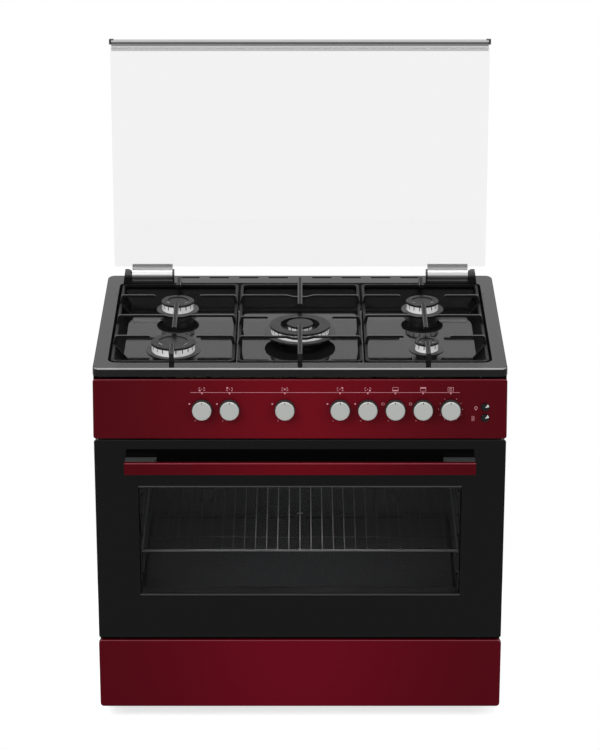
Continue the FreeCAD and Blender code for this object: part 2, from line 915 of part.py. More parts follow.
def oven_lamp():
    """Lamp in the rear wall: glass cover inside, socket behind."""
    z = cavity_low + lamp_rise
    neck = [(0, 0), (lamp_neck, 0), (lamp_neck, lamp_socket), (0, lamp_socket)]
    cover = [(0, 0), (lamp_radius, 0), (lamp_radius, lamp_depth / 2),
             (lamp_radius * 2 / 3, lamp_depth), (0, lamp_depth)]
    socket = turned(neck, Vector(lamp_x, cavity_rear, z), backward)
    glass = turned(cover, Vector(lamp_x, cavity_rear, z), -backward)
    return [socket, glass]


def oven_rack():
    """Wire shelf: a heavy frame with thin bars running front to back."""
    z = shelf_top(rack_shelf) + rack_wire
    y0 = cavity_front + rack_inset
    y1 = cavity_rear - rack_inset
    frame = []
    for y in (y0, y0 + rack_lip, y1):
        frame.append(bar(rack_wire, Vector(-rack_half, y, z), Vector(rack_half, y, z), wire_sides))
    frame.append(bar(rack_wire, Vector(rack_half, y0, z), Vector(rack_half, y1, z), wire_sides))
    count = int(rack_half / rack_pitch)
    bars = [bar(rack_bar, Vector(index * rack_pitch, y0, z + rack_bar),
                Vector(index * rack_pitch, y1, z + rack_bar), thin_sides)
            for index in range(-count, count + 1)]
    left = bar(rack_wire, Vector(-rack_half, y0, z), Vector(-rack_half, y1, z), wire_sides)
    return fuse(left, frame + bars)


def drawer_runners():
    """Z-section rails on the bottom tray that carry the drawer's lips."""
    low = drawer_z + side_sheet
    top = drawer_z + box_high - sheet
    y0 = runner_start
    y1 = y0 + runner_length
    x0 = box_half + runner_gap
    web = box(x0, x0 + side_sheet, y0, y1, low, top)
    flanges = [box(x0, x0 + runner_flange, y0, y1, top - side_sheet, top),
               box(x0 + side_sheet - runner_flange, x0 + side_sheet, y0, y1, low, low + side_sheet)]
    rail = fuse(web, flanges)
    return [rail, mirrored(rail)]


def drawer_front():
    """Pressed drawer front with rounded corners, open at the back."""
    z0 = drawer_z
    z1 = drawer_z + drawer_height
    outer = upright_slab(-half, half, z0, z1, 0, drawer_lip, drawer_corner)
    outer = round_edges(outer, drawer_corner / 4,
                        lambda edge: near(edge.BoundBox.YMax, 0) and near(edge.BoundBox.YMin, 0))
    inner = upright_slab(drawer_sheet - half, half - drawer_sheet, z0 + drawer_sheet,
                         z1 - drawer_sheet, drawer_sheet, drawer_lip + overrun,
                         drawer_corner - drawer_sheet)
    return outer.cut(inner)


def drawer_box():
    """Sheet steel storage drawer, open on top, with lips for the rails and front brackets."""
    z0 = drawer_z + box_low
    z1 = drawer_z + box_high
    y0 = drawer_lip
    y1 = y0 + box_depth
    tray = box(-box_half, box_half, y0, y1, z0, z1)
    hollow = box(side_sheet - box_half, box_half - side_sheet, y0 + side_sheet,
                 y1 - side_sheet, z0 + side_sheet, z1 + overrun)
    lip = box(box_half - side_sheet, box_half + box_lip, y0 + runner_flange, y1,
              z1 - side_sheet, z1)
    brackets = [box(x - box_bracket_width / 2, x + box_bracket_width / 2, drawer_sheet, y0,
                    z0 + box_bracket_width, z1 - box_bracket_width)
                for x in (-box_bracket_x, 0, box_bracket_x)]
    return fuse(tray.cut(hollow), [lip, mirrored(lip)] + brackets)


well_top = hob_z
well_base = hob_z - well_depth


def well_form(grow, top, base):
    """The tapered form of the hob's well, grown by a wall."""
    upper = rounded(-well_half - grow, well_half + grow, hob_front + well_front - grow,
                    hob_front + well_rear + grow, top, well_corner + grow)
    lower = rounded(-well_floor_half - grow, well_floor_half + grow,
                    hob_front + well_floor_front - grow, hob_front + well_floor_rear + grow,
                    base, well_floor_corner + grow)
    return Part.makeLoft([upper, lower], True, True)


def burner_places():
    """Name, place, cap, crown and flange radius and port count of the four small burners."""
    places = []
    for name, (x, y, cap, crown, flange, ports) in burners.items():
        places.append((name, Vector(x, hob_front + y, hob_z), cap, crown, flange, ports))
    return places


def centre_place():
    """Middle of the large burner at the level of the hob's rim."""
    return Vector(0, hob_front + centre_y, hob_z)


def pot_radius(flange):
    """Body radius of a burner pot."""
    return flange - pot_step


def hob_plate():
    """Pressed enamelled hob: rim, skirt, sloping well, burner holes and rear air slots."""
    x1 = half
    y0 = hob_front
    y1 = hob_rear
    top = hob_z
    low = hob_z - hob_skirt
    outer = slab(-x1, x1, y0, y1, low, top, hob_corner)
    outer = round_edges(outer, hob_edge,
                        lambda edge: near(edge.BoundBox.ZMax, top) and near(edge.BoundBox.ZMin, top))
    inner = slab(sheet - x1, x1 - sheet, y0 + sheet, y1 - sheet, low - overrun, top - sheet,
                 hob_corner - sheet)
    shell = outer.cut(inner)
    bowl = well_form(sheet, well_top - sheet / 2, well_base - sheet)
    hollow = well_form(0, well_top, well_base)
    upper = rounded(-well_half, well_half, hob_front + well_front, hob_front + well_rear,
                    well_top, well_corner)
    mouth = Part.Face(upper).extrude(Vector(0, 0, overrun))
    holes = []
    for name, place, cap, crown, flange, ports in burner_places():
        holes.append((place, pot_radius(flange) + pot_gap))
        holes.append((electrode_place(place, crown), electrode + pot_gap))
    holes.append((centre_place(), centre_pot + pot_gap))
    holes.append((electrode_place(centre_place(), centre_ring), electrode + pot_gap))
    cuts = [hollow, mouth]
    for place, radius in holes:
        cuts.append(rod(radius, place - upward * (well_depth + overrun), place))
    for index in range(vent_count):
        x = vent_middle / 2 + index * vent_pitch
        slot = slab(x - vent_length / 2, x + vent_length / 2,
                    hob_front + vent_y - vent_width / 2, hob_front + vent_y + vent_width / 2,
                    top - hob_skirt / 2, top + overrun, vent_width / 3)
        cuts.extend([slot, mirrored(slot)])
    plate = shell.fuse(bowl)
    for cut in cuts:
        plate = plate.cut(cut)
    return plate.removeSplitter()


def electrode_place(place, crown):
    """Where the spark electrode stands beside a burner's crown."""
    angle = math.radians(135)
    reach = crown + electrode_gap
    return place + Vector(reach * math.cos(angle), reach * math.sin(angle), 0)


def burner_pot(place, body, flange, crown):
    """Die-cast pot below a burner: flange, body through the hob, collar and jet hole."""
    seat = -burner_seat
    under = seat - burner_flange
    floor = -well_depth
    profile = [
        (body - pot_wall, seat), (flange, seat), (flange, under), (body, under),
        (body, floor + pot_collar_thick), (body + pot_collar, floor), (body, floor),
        (body, -pot_depth), (jet_hole, -pot_depth), (jet_hole, pot_wall - pot_depth),
        (body - pot_wall, pot_wall - pot_depth),
    ]
    pot = revolve(profile, place)
    stand = electrode_place(place, crown)
    hole = rod(electrode + running_fit, stand - upward * well_depth, stand)
    return pot.cut(hole)


def burner_pots():
    """The five fixed burner pots."""
    pots = [burner_pot(place, pot_radius(flange), flange, crown)
            for name, place, cap, crown, flange, ports in burner_places()]
    pots.append(burner_pot(centre_place(), centre_pot, centre_flange, centre_ring))
    return pots


def ports_cut(place, radius, top, count):
    """Radial flame slots cut down from the top of a crown."""
    slots = []
    for index in range(count):
        slot = box(0, radius, -port_width / 2, port_width / 2, top - port_depth, top + overrun)
        slot.rotate(Vector(0, 0, 0), Vector(0, 0, 1), 360 * (index + 1 / 2) / count)
        slot.translate(place)
        slots.append(slot)
    return Part.makeCompound(slots)


def burner_head(place, crown, ports):
    """Lift-out aluminium head: slotted crown, base web and mixing neck."""
    seat = -burner_seat
    top = burner_crown_top
    profile = [
        (burner_neck_bore, seat - burner_neck_drop), (burner_neck, seat - burner_neck_drop),
        (burner_neck, seat), (crown, seat), (crown, top), (crown - burner_wall, top),
        (crown - burner_wall, seat + burner_base), (burner_neck_bore, seat + burner_base),
    ]
    ring = revolve(profile, place)
    keep = rod(crown - burner_wall - clearance, place - upward * well_depth,
               place + upward * overrun)
    slots = ports_cut(place, crown + overrun, top, ports).cut(keep)
    return ring.cut(slots)


def burner_cap(place, cap, crown):
    """Enamelled lift-off cap with a dished middle and a locating ring beneath."""
    base = burner_crown_top
    top = burner_cap_top
    dish = cap * cap_dish_share
    spigot = crown - burner_wall - clearance
    profile = [
        (0, base), (spigot - cap_spigot_wall, base), (spigot - cap_spigot_wall, base - cap_spigot),
        (spigot, base - cap_spigot), (spigot, base), (cap, base), (cap, top - cap_chamfer),
        (cap - cap_chamfer, top), (dish, top), (dish - cap_dish_slope, top - cap_dish),
        (0, top - cap_dish),
    ]
    return revolve(profile, place)


def centre_burner_head():
    """Head of the large burner: slotted outer ring, inner ring and slotted middle crown."""
    place = centre_place()
    seat = -burner_seat
    web = seat + burner_base
    inner = centre_ring_inner
    crown = centre_crown
    wall = centre_ring_wall
    outer = centre_ring - burner_base
    profile = [
        (burner_neck_bore, seat), (outer, seat), (outer, 0), (outer - wall, 0),
        (outer - wall, web), (inner + wall / 2, web), (inner + wall / 2, 0), (inner, 0),
        (inner, web), (crown, web), (crown, centre_crown_top), (crown - wall, centre_crown_top),
        (crown - wall, web), (burner_neck_bore, web),
    ]
    head = revolve(profile, place)
    ring_keep = rod(outer - wall - clearance, place - upward * well_depth,
                    place + upward * overrun)
    crown_keep = rod(crown - wall - clearance, place - upward * well_depth,
                     place + upward * overrun)
    outer_slots = ports_cut(place, outer + overrun, 0, centre_port_count).cut(ring_keep)
    inner_slots = ports_cut(place, crown + clearance, centre_crown_top,
                            centre_inner_port_count).cut(crown_keep)
    return head.cut(outer_slots).cut(inner_slots)


def centre_ring_cap():
    """Enamelled ring that covers the large burner's outer flames."""
    inner = centre_ring_inner
    top = burner_cap_top - burner_crown_top
    profile = [(inner, 0), (centre_ring, 0), (centre_ring, top - cap_chamfer),
               (centre_ring - cap_chamfer, top), (inner + cap_chamfer, top),
               (inner, top - cap_chamfer)]
    return revolve(profile, centre_place())


def centre_inner_cap():
    """Small enamelled cap over the middle crown."""
    base = centre_crown_top
    top = centre_cap_top
    spigot = centre_crown - centre_ring_wall - clearance
    profile = [
        (0, base), (spigot - cap_spigot_wall, base), (spigot - cap_spigot_wall, base - cap_spigot),
        (spigot, base - cap_spigot), (spigot, base), (centre_cap, base),
        (centre_cap, top - cap_chamfer), (centre_cap - cap_chamfer, top), (0, top),
    ]
    return revolve(profile, centre_place())


def ignition_electrodes():
    """Ceramic spark electrodes beside the five burners."""
    rods = []
    places = [electrode_place(place, crown)
              for name, place, cap, crown, flange, ports in burner_places()]
    places.append(electrode_place(centre_place(), centre_ring))
    for place in places:
        top = -electrode_drop
        shoulder = electrode + electrode / 2
        profile = [
            (0, top - electrode_length), (electrode, top - electrode_length),
            (electrode, -burner_seat), (shoulder, -burner_seat),
            (shoulder, electrode_drop - burner_seat), (electrode, electrode_drop - burner_seat),
            (electrode, top), (0, top),
        ]
        rods.append(revolve(profile, place))
    return rods


def root_points(root, side, bottom):
    """Rise of a finger from the frame: its outer bend, from the frame's underside to the top."""
    return [(root, bottom), (root, support_high),
            (root + side * finger_lean, finger_top - finger_bend),
            (root + side * (finger_lean + finger_bend), finger_top)]


def cross_finger(root, side, tip, y, foot):
    """A finger that runs left to right from the frame to a free tip, with its leg."""
    reach = root + side * (finger_lean + support_bar)
    points = root_points(root, side, -support_low)
    points += [(tip - side * finger_width / 2, finger_top), (tip, finger_top - finger_width / 2),
               (tip, finger_top - finger_height), (reach, finger_top - finger_height),
               (root + side * support_bar, -support_low)]
    if foot is not None:
        points += [(foot + side * leg_width, -well_depth), (foot, -well_depth)]
    outline = [(x, y - finger_width / 2, z) for x, z in points]
    return prism(outline, (0, finger_width, 0))


def cross_bar(left, right, y, dip, legs):
    """A bar from one side of the frame to the other, dipped under the rod at its middle."""
    middle = (left + right) / 2
    under = finger_top - finger_height
    bend = finger_lean + support_bar
    top = [(middle - finger_dip_half, finger_top),
           (middle - finger_dip_half / 2, finger_top - dip),
           (middle + finger_dip_half / 2, finger_top - dip),
           (middle + finger_dip_half, finger_top)]
    points = root_points(left, 1, -support_low) + top
    points += list(reversed(root_points(right, -1, -support_low)))
    if legs:
        points += [(right, -well_depth), (right - leg_width, -well_depth)]
    points += [(right - support_bar, -support_low), (right - bend, under)]
    points += [(x, z - finger_height) for x, z in reversed(top)]
    points += [(left + bend, under), (left + support_bar, -support_low)]
    if legs:
        points += [(left + leg_width, -well_depth), (left, -well_depth)]
    outline = [(x, y - finger_width / 2, z) for x, z in points]
    return prism(outline, (0, finger_width, 0))


def round_rod(solid):
    """Round the long top edges of a front-to-back rod."""
    return round_edges(solid, rod_edge, lambda edge: near(edge.BoundBox.ZMin, finger_top)
                       and near(edge.BoundBox.ZMax, finger_top)
                       and edge.BoundBox.YLength > rod_width + rod_edge)


def rooted_rod(x, root, side, tip):
    """A thicker rod that runs front to back from the frame to a free tip."""
    under = finger_top - rod_height
    points = root_points(root, side, -support_low)
    points += [(tip, finger_top), (tip, under), (root + side * (finger_lean + support_bar), under),
               (root + side * support_bar, -support_low)]
    outline = [(x - rod_width / 2, y, z) for y, z in points]
    return round_rod(prism(outline, (rod_width, 0, 0)))


def free_rod(x, start, end):
    """A rod carried only by the cross bar it passes over."""
    under = finger_top - rod_height
    return round_rod(box(x - rod_width / 2, x + rod_width / 2, start, end, under, finger_top))


def support_frame(left, right):
    """The rounded frame of a pan support, level with the hob's rim."""
    outer = slab(left, right, support_front, support_rear, -support_low, support_high,
                 support_corner)
    inner = slab(left + support_bar, right - support_bar, support_front + support_bar,
                 support_rear - support_bar, -support_low - overrun, support_high + overrun,
                 support_corner - support_bar / 2)
    return outer.cut(inner)


def pan_support_side(front_tip):
    """Pan support over two burners on the left, its front rod ending at the given place."""
    left = -support_outer
    right = -support_inner
    x = burners["front_left"][0]
    foot = leg_clear - well_floor_half
    parts = []
    for y in (finger_front, finger_rear):
        parts.append(cross_finger(left, 1, x - finger_reach, y, foot))
        parts.append(cross_finger(right, -1, x + finger_reach, y, right))
    parts.append(cross_bar(left, right, finger_middle, finger_dip, False))
    parts.append(free_rod(x, rod_middle_start, rod_middle_end))
    parts.append(rooted_rod(x, support_front, 1, front_tip))
    parts.append(rooted_rod(x, support_rear, -1, rod_rear_tip))
    solid = fuse(support_frame(left, right), parts)
    solid.translate(Vector(0, hob_front, hob_z))
    return solid


def pan_support_centre():
    """Pan support over the large middle burner."""
    left = -support_centre
    right = support_centre
    parts = [cross_bar(left, right, centre_finger_front, finger_dip, True),
             cross_bar(left, right, finger_rear, finger_dip, True),
             cross_finger(left, 1, -centre_reach, centre_finger_middle, None),
             cross_finger(right, -1, centre_reach, centre_finger_middle, None),
             rooted_rod(0, support_front, 1, centre_rod_front),
             rooted_rod(0, support_rear, -1, centre_rod_rear)]
    solid = fuse(support_frame(left, right), parts)
    solid.translate(Vector(0, hob_front, hob_z))
    return solid


def lid_glass_plate():
    """Clear tempered glass lid."""
    top = lid_length - profile_height + profile_slot
    plate = upright_slab(-lid_half, lid_half, lid_glass_start, top, lid_glass_back,
                         lid_glass_back + lid_glass, lid_glass_corner)
    return lid_place(plate)


def lid_profile():
    """Aluminium edge profile pushed over the top of the glass, grooved along its front."""
    side = (profile_thick - lid_glass) / 2
    front = lid_glass_back - side
    rear = lid_glass_back + lid_glass + side
    low = lid_length - profile_height
    groove_shares = [(0.24, 0.30, 0.44, 0.50), (0.62, 0.66, 0.80, 0.84)]
    points = [(front, low)]
    for start, dip, rise, end in groove_shares:
        points += [(front, low + profile_height * start),
                   (front + profile_groove, low + profile_height * dip),
                   (front + profile_groove, low + profile_height * rise),
                   (front, low + profile_height * end)]
    points += [(front, lid_length), (rear, lid_length), (rear, low),
               (lid_glass_back + lid_glass, low), (lid_glass_back + lid_glass, low + profile_slot),
               (lid_glass_back, low + profile_slot), (lid_glass_back, low)]
    return lid_place(prism([(-profile_half, y, z) for y, z in points], (2 * profile_half, 0, 0)))


def lid_end_caps():
    """Black end caps on the top corners of the profile."""
    side = (profile_thick - lid_glass) / 2
    front = lid_glass_back - side
    rear = lid_glass_back + lid_glass + side
    plug = box(profile_half, profile_half + end_cap, front, rear,
               lid_length - 2 * end_cap, lid_length + sheet)
    strip = box(profile_half - end_cap, profile_half, front, rear, lid_length,
                lid_length + sheet)
    cap = fuse(plug, [strip])
    return [lid_place(cap), lid_place(mirrored(cap))]


def lid_hinge_clamps():
    """Aluminium hinge clamps: a bored tube with two jaws that grip the glass."""
    barrel = rod(clamp_tube, Vector(clamp_inner, 0, 0), Vector(clamp_outer, 0, 0))
    front = lid_glass_back - clamp_jaw
    rear = lid_glass_back + lid_glass + clamp_jaw
    jaws = box(clamp_inner, clamp_outer, front, rear, clamp_low, clamp_high)
    slot = box(clamp_inner - overrun, clamp_outer + overrun, lid_glass_back,
               lid_glass_back + lid_glass, lid_glass_start, clamp_high + overrun)
    bore = rod(lid_pin + running_fit, Vector(clamp_inner - overrun, 0, 0),
               Vector(clamp_outer + overrun, 0, 0))
    clamp = fuse(barrel, [jaws]).cut(slot).cut(bore)
    return [lid_place(clamp), lid_place(mirrored(clamp))]


def hinge_reach():
    """Depth that takes in a whole hinge ear."""
    return max(ear_radius, ear_foot_depth) + overrun


def lid_hinge_brackets():
    """Black hinge brackets on the hob: two ears, a foot plate and the hinge pin."""
    low = -lid_axis_rise
    outside = clamp_outer + ear_gap
    inside = clamp_inner - ear_gap
    front = ear_foot - ear_radius + ear_foot
    outline = [(front, low), (-ear_radius, 0), (ear_radius, 0), (ear_foot_depth, low)]
    ears = []
    for start, end in ((outside, outside + ear_outer), (inside - ear_inner, inside)):
        web = prism([(start, y, z) for y, z in outline], (end - start, 0, 0))
        ears.append(fuse(web, [rod(ear_radius, Vector(start, 0, 0), Vector(end, 0, 0))]))
    slant = [(outside, low), (outside + ear_outer, low), (outside + ear_top_outer, ear_radius),
             (outside + ear_top_inner, ear_radius), (outside, ear_shoulder)]
    ears[0] = ears[0].common(prism([(x, -hinge_reach(), z) for x, z in slant],
                                   (0, 2 * hinge_reach(), 0)))
    parts = ears + [box(inside, outside, front, ear_foot_depth, low, low + ear_foot)]
    pin = rod(lid_pin, Vector(inside - ear_inner, 0, 0), Vector(outside + ear_top_outer, 0, 0))
    bracket = fuse(pin, parts)
    bracket.translate(Vector(0, hob_front + lid_axis_y, hob_z + lid_axis_rise))
    return [bracket, mirrored(bracket)]


def door_outer_glass():
    """Black-backed outer door glass."""
    x = half - door_side_inset
    return upright_slab(-x, x, door_z, door_z + door_height, 0, outer_glass, glass_corner)


def door_inner_glass():
    """Heat-reflecting inner door glass."""
    return upright_slab(-inner_glass_half, inner_glass_half, door_z + inner_glass_low,
                        door_z + inner_glass_high, outer_glass + door_frame_depth, door_depth,
                        glass_corner)


def door_frame():
    """Hollow folded door frame with its window, hinge notches, cheeks and top vent slots."""
    x = half - door_side_inset - frame_inset
    z0 = door_z + frame_inset
    z1 = door_z + door_height - frame_inset
    y0 = outer_glass
    y1 = outer_glass + door_frame_depth
    shell = upright_slab(-x, x, z0, z1, y0, y1, glass_corner)
    hollow = box(sheet - x, x - sheet, y0 + sheet, y1 - sheet, z0 + sheet, z1 - sheet)
    tube = upright_slab(-window_half - sheet, window_half + sheet, door_z + window_low - sheet,
                        door_z + window_high + sheet, y0, y1, glass_corner + sheet)
    window = upright_slab(-window_half, window_half, door_z + window_low,
                          door_z + window_high, y0 - overrun, y1 + overrun, glass_corner)
    parts = [tube]
    cuts = [window]
    notch = hinge_notch / 2
    for hinge in (-hinge_x, hinge_x):
        for start in (hinge - notch - hinge_cheek, hinge + notch):
            parts.append(box(start, start + hinge_cheek, y0 + sheet, y1 - sheet, z0 + sheet,
                             z0 + hinge_cheek_height))
        cuts.append(box(hinge - notch, hinge + notch, y0 - overrun, y1 + overrun,
                        z0 - overrun, pivot_z + hinge_notch_rise))
        cuts.append(rod(pivot_pin + running_fit,
                        Vector(hinge - notch - hinge_cheek - overrun, pivot_y, pivot_z),
                        Vector(hinge + notch + hinge_cheek + overrun, pivot_y, pivot_z)))
    for index in range(door_vent_count):
        middle = (index - (door_vent_count - 1) / 2) * door_vent_pitch
        cuts.append(box(middle - door_vent_length / 2, middle + door_vent_length / 2,
                        y0 + door_frame_depth / 2, y0 + door_frame_depth / 2 + door_vent_width,
                        z1 - overrun, z1 + overrun))
    return fuse(shell.cut(hollow), parts).cut(Part.makeCompound(cuts))


def handle_bar():
    """Flat handle bar across the door, its long edges rounded."""
    z0 = door_z + handle_low
    bar = box(-handle_half, handle_half, -handle_front, handle_thick - handle_front, z0,
              z0 + handle_height)
    return round_edges(bar, handle_corner, lambda edge: edge.BoundBox.XLength > handle_half
                       and near(edge.BoundBox.YMin, -handle_front))


def handle_brackets():
    """Moulded brackets between the door glass and the ends of the bar."""
    front = handle_thick - handle_front
    inner = handle_half - bracket_width
    z0 = door_z + handle_low + bracket_inset
    outline = [(handle_half, front, z0), (handle_half, 0, z0), (inner, 0, z0),
               (inner + bracket_skew, front, z0)]
    bracket = prism(outline, (0, 0, handle_height - 2 * bracket_inset))
    bracket = round_edges(bracket, bracket_inset,
                          lambda edge: near(edge.BoundBox.XMin, handle_half)
                          and edge.BoundBox.YLength > handle_thick)
    return [bracket, mirrored(bracket)]


panel_length = panel_rise / math.cos(panel_lean)
knob_z = panel_length / 2


def knob_x(name):
    """Place of a knob along the panel."""
    return knob_datum + knob_slots[name] * knob_pitch


def rail_place():
    """Middle of the gas rail behind the panel."""
    return lean(Part.Vertex(0, rail_depth, rail_rise)).Point


def control_panel():
    """Pressed panel leaning back, open behind, with the knob and button holes."""
    outer = upright_slab(-half, half, 0, panel_length, 0, panel_depth, panel_corner)
    outer = round_edges(outer, panel_edge,
                        lambda edge: near(edge.BoundBox.YMax, 0) and near(edge.BoundBox.YMin, 0))
    inner = upright_slab(sheet - half, half - sheet, sheet, panel_length - sheet, sheet,
                         panel_depth + overrun, panel_corner - sheet)
    cuts = [rod(spindle_hole, Vector(knob_x(name), -overrun, knob_z),
                Vector(knob_x(name), overrun, knob_z)) for name in knob_slots]
    cuts += [rod(button_radius + button_gap, Vector(button_x, -overrun, z),
                 Vector(button_x, overrun, z)) for z in (button_low, button_high)]
    panel = lean(outer.cut(inner).cut(Part.makeCompound(cuts)))
    wing = side_panel()
    return panel.cut(Part.makeCompound([wing, mirrored(wing)]))


def knob(name):
    """Knob with a flared base, hub and pointer notch, and its own spindle."""
    place = Vector(knob_x(name), 0, knob_z)
    roof = knob_height - 2 * knob_wall
    profile = [
        (spindle, knob_gap), (knob_hub, knob_gap), (knob_hub, roof),
        (knob_radius - knob_wall, roof), (knob_radius - knob_wall, knob_gap),
        (knob_base, knob_gap), (knob_base, knob_gap + knob_base_height),
        (knob_radius, knob_gap + knob_base_height),
        (knob_radius, knob_height - (knob_radius - knob_face)), (knob_face, knob_height),
        (0, knob_height), (0, roof), (spindle, roof),
    ]
    cap = turned(profile, place, -backward)
    notch = box(place.x - knob_notch / 2, place.x + knob_notch / 2,
                -knob_height - overrun, knob_notch_depth - knob_height,
                knob_z + knob_radius - knob_notch_length, knob_z + knob_radius + overrun)
    shaft = rod(spindle, place + backward * spindle_depth, place - backward * roof)
    return [lean(cap.cut(notch)), lean(shaft)]


def push_button(z):
    """Domed push button with its stem."""
    profile = [
        (0, -button_stem_length), (button_stem, -button_stem_length), (button_stem, -button_in),
        (button_radius, -button_in), (button_radius, button_out - button_crown),
        (button_radius - button_crown, button_out - button_crown / 4), (0, button_out),
    ]
    return lean(turned(profile, Vector(button_x, 0, z), -backward))


def gas_tap(name):
    """Brass tap: mounting boss, body with the spindle bore, outlet and saddle on the rail."""
    x = knob_x(name)
    rear = tap_front + tap_length
    boss = rod(tap_boss, Vector(x, sheet, knob_z), Vector(x, tap_front, knob_z))
    body = rod(tap_radius, Vector(x, tap_front, knob_z), Vector(x, rear, knob_z))
    outlet = rod(pipe_radius + sheet, Vector(x, rear, knob_z),
                 Vector(x, rear + tap_saddle, knob_z))
    saddle = box(x - tap_saddle, x + tap_saddle, rail_depth - tap_saddle,
                 rail_depth + tap_saddle, rail_rise, knob_z)
    rail = rod(rail_radius, Vector(x - tap_radius, rail_depth, rail_rise),
               Vector(x + tap_radius, rail_depth, rail_rise))
    bore = rod(spindle + running_fit, Vector(x, sheet - overrun, knob_z),
               Vector(x, spindle_depth + clearance, knob_z))
    tap = fuse(body, [boss, outlet, saddle]).cut(rail).cut(bore)
    return lean(tap)


def gas_taps():
    """The seven gas taps."""
    return [gas_tap(name) for name in knob_slots if name != "timer"]


def pipe_start(name):
    """Outlet of a tap and the end of its first straight run."""
    x = knob_x(name)
    rear = tap_front + tap_length + tap_saddle
    first = lean(Part.Vertex(x, rear, knob_z)).Point
    second = lean(Part.Vertex(x, rear + pipe_bend, knob_z)).Point
    return first, second


def burner_pipe(name, place):
    """Pipe from a tap to the underside of a hob burner."""
    first, second = pipe_start(name)
    under = hob_z - pot_depth
    return bent_pipe([first, second, (place.x, place.y, second.z), (place.x, place.y, under)],
                     pipe_radius, pipe_bend)


def oven_pipe(name, rear, z):
    """Pipe from a tap over the insulation and down to a burner's rear end."""
    first, second = pipe_start(name)
    end = cavity_rear + sheet + blanket
    over = second.z - pipe_drop
    x = first.x
    return bent_pipe([first, second, (x, second.y + pipe_run, second.z),
                      (x, second.y + pipe_run, over), (x, end + rear, over),
                      (x, end + rear, z), (0, end + rear, z), (0, end, z)],
                     pipe_radius, pipe_bend)


def gas_pipework():
    """Steel gas rail with its threaded rear inlet, and the pipes to every burner."""
    rail = rail_place()
    corner = Vector(rail_right, rail.y, rail.z)
    collar = cabinet_rear + inlet_nut_height
    parts = [Part.makeSphere(rail_radius, corner),
             rod(rail_radius, corner, Vector(rail_right, cabinet_rear, rail.z)),
             rod(inlet_nut, Vector(rail_right, cabinet_rear, rail.z),
                 Vector(rail_right, collar, rail.z)),
             rod(inlet_radius, Vector(rail_right, collar, rail.z),
                 Vector(rail_right, collar + inlet_reach, rail.z))]
    bore = rod(inlet_radius - 2 * sheet, Vector(rail_right, collar, rail.z),
               Vector(rail_right, collar + inlet_reach + overrun, rail.z))
    main_rail = fuse(rod(rail_radius, Vector(rail_left, rail.y, rail.z), corner), parts)
    solids = [main_rail.cut(bore)]
    for name, place, cap, crown, flange, ports in burner_places():
        solids.append(burner_pipe(name, place))
    solids.append(burner_pipe("centre", centre_place()))
    solids.append(oven_pipe("oven", oven_pipe_rear, cavity_low + oven_burner_rise))
    solids.append(oven_pipe("grill", grill_pipe_rear, grill_axis_z()))
    return solids


def timer_and_switches():
    """Minute timer behind its knob and the two-way switch block behind the buttons."""
    x = knob_x("timer")
    boss = rod(tap_boss, Vector(x, sheet, knob_z), Vector(x, timer_front, knob_z))
    case = box(x - timer_size / 2, x + timer_size / 2, timer_front, timer_front + timer_depth,
               timer_low, timer_low + timer_size)
    bore = rod(spindle + running_fit, Vector(x, sheet - overrun, knob_z),
               Vector(x, spindle_depth + clearance, knob_z))
    timer = fuse(case, [boss]).cut(bore)
    block = box(button_x - switch_half, button_x + switch_half, sheet, sheet + switch_depth,
                button_low - switch_margin, button_high + switch_margin)
    for z in (button_low, button_high):
        recess = rod(button_radius + button_gap, Vector(button_x, 0, z),
                     Vector(button_x, button_in + button_travel + button_gap, z))
        hole = rod(button_stem + running_fit, Vector(button_x, 0, z),
                   Vector(button_x, button_stem_length + button_travel + button_gap, z))
        block = block.cut(recess).cut(hole)
    return [lean(timer), lean(block)]


def build():
    """Make and write every piece of the cooker."""
    right = side_panel()
    save("side_panels", [right, mirrored(right)])
    save("back_panel", [back_panel()])
    save("panel_screws", panel_screws())
    save("power_gland", [power_gland()])
    save("base_pan", [base_pan()])
    save("adjustable_feet", adjustable_feet())
    save("front_frame", [front_frame()])
    save("door_hinge_arms", door_hinge_arms())
    save("oven_liner", [oven_liner()])
    save("insulation_blanket", [insulation_blanket()])
    save("oven_gasket", [oven_gasket()])
    save("oven_floor_plate", [oven_floor_plate()])
    save("oven_burner", [oven_burner()])
    save("grill_burner", [grill_burner()])
    save("oven_lamp", oven_lamp())
    save("oven_rack", [oven_rack()])
    save("drawer_runners", drawer_runners())
    save("drawer_front", [drawer_front()])
    save("drawer_box", [drawer_box()])
    save("hob_plate", [hob_plate()])
    save("burner_pots", burner_pots())
    save("ignition_electrodes", ignition_electrodes())
    save("centre_burner_head", [centre_burner_head()])
    save("centre_ring_cap", [centre_ring_cap()])
    save("centre_cap", [centre_inner_cap()])
    for name, place, cap, crown, flange, ports in burner_places():
        save(name + "_head", [burner_head(place, crown, ports)])
        save(name + "_cap", [burner_cap(place, cap, crown)])
    x, y, cap, crown, flange, ports = burners["front_left"]
    save("pan_support_left", [pan_support_side(y - cap - rod_cap_clear)])
    save("pan_support_centre", [pan_support_centre()])
    save("pan_support_right", [mirrored(pan_support_side(rod_front_tip))])
    save("lid_glass", [lid_glass_plate()])
    save("lid_profile", [lid_profile()])
    save("lid_end_caps", lid_end_caps())
    save("lid_hinge_clamps", lid_hinge_clamps())
    save("lid_hinge_brackets", lid_hinge_brackets())
    save("door_outer_glass", [door_outer_glass()])
    save("door_inner_glass", [door_inner_glass()])
    save("door_frame", [door_frame()])
    save("handle_bar", [handle_bar()])
    save("handle_brackets", handle_brackets())
    save("control_panel", [control_panel()])
    for name in knob_slots:
        save(name + "_knob", knob(name))
    save("light_button", [push_button(button_high)])
    save("spark_button", [push_button(button_low)])
    save("gas_taps", gas_taps())
    save("gas_pipework", gas_pipework())
    save("timer_and_switches", timer_and_switches())


build()
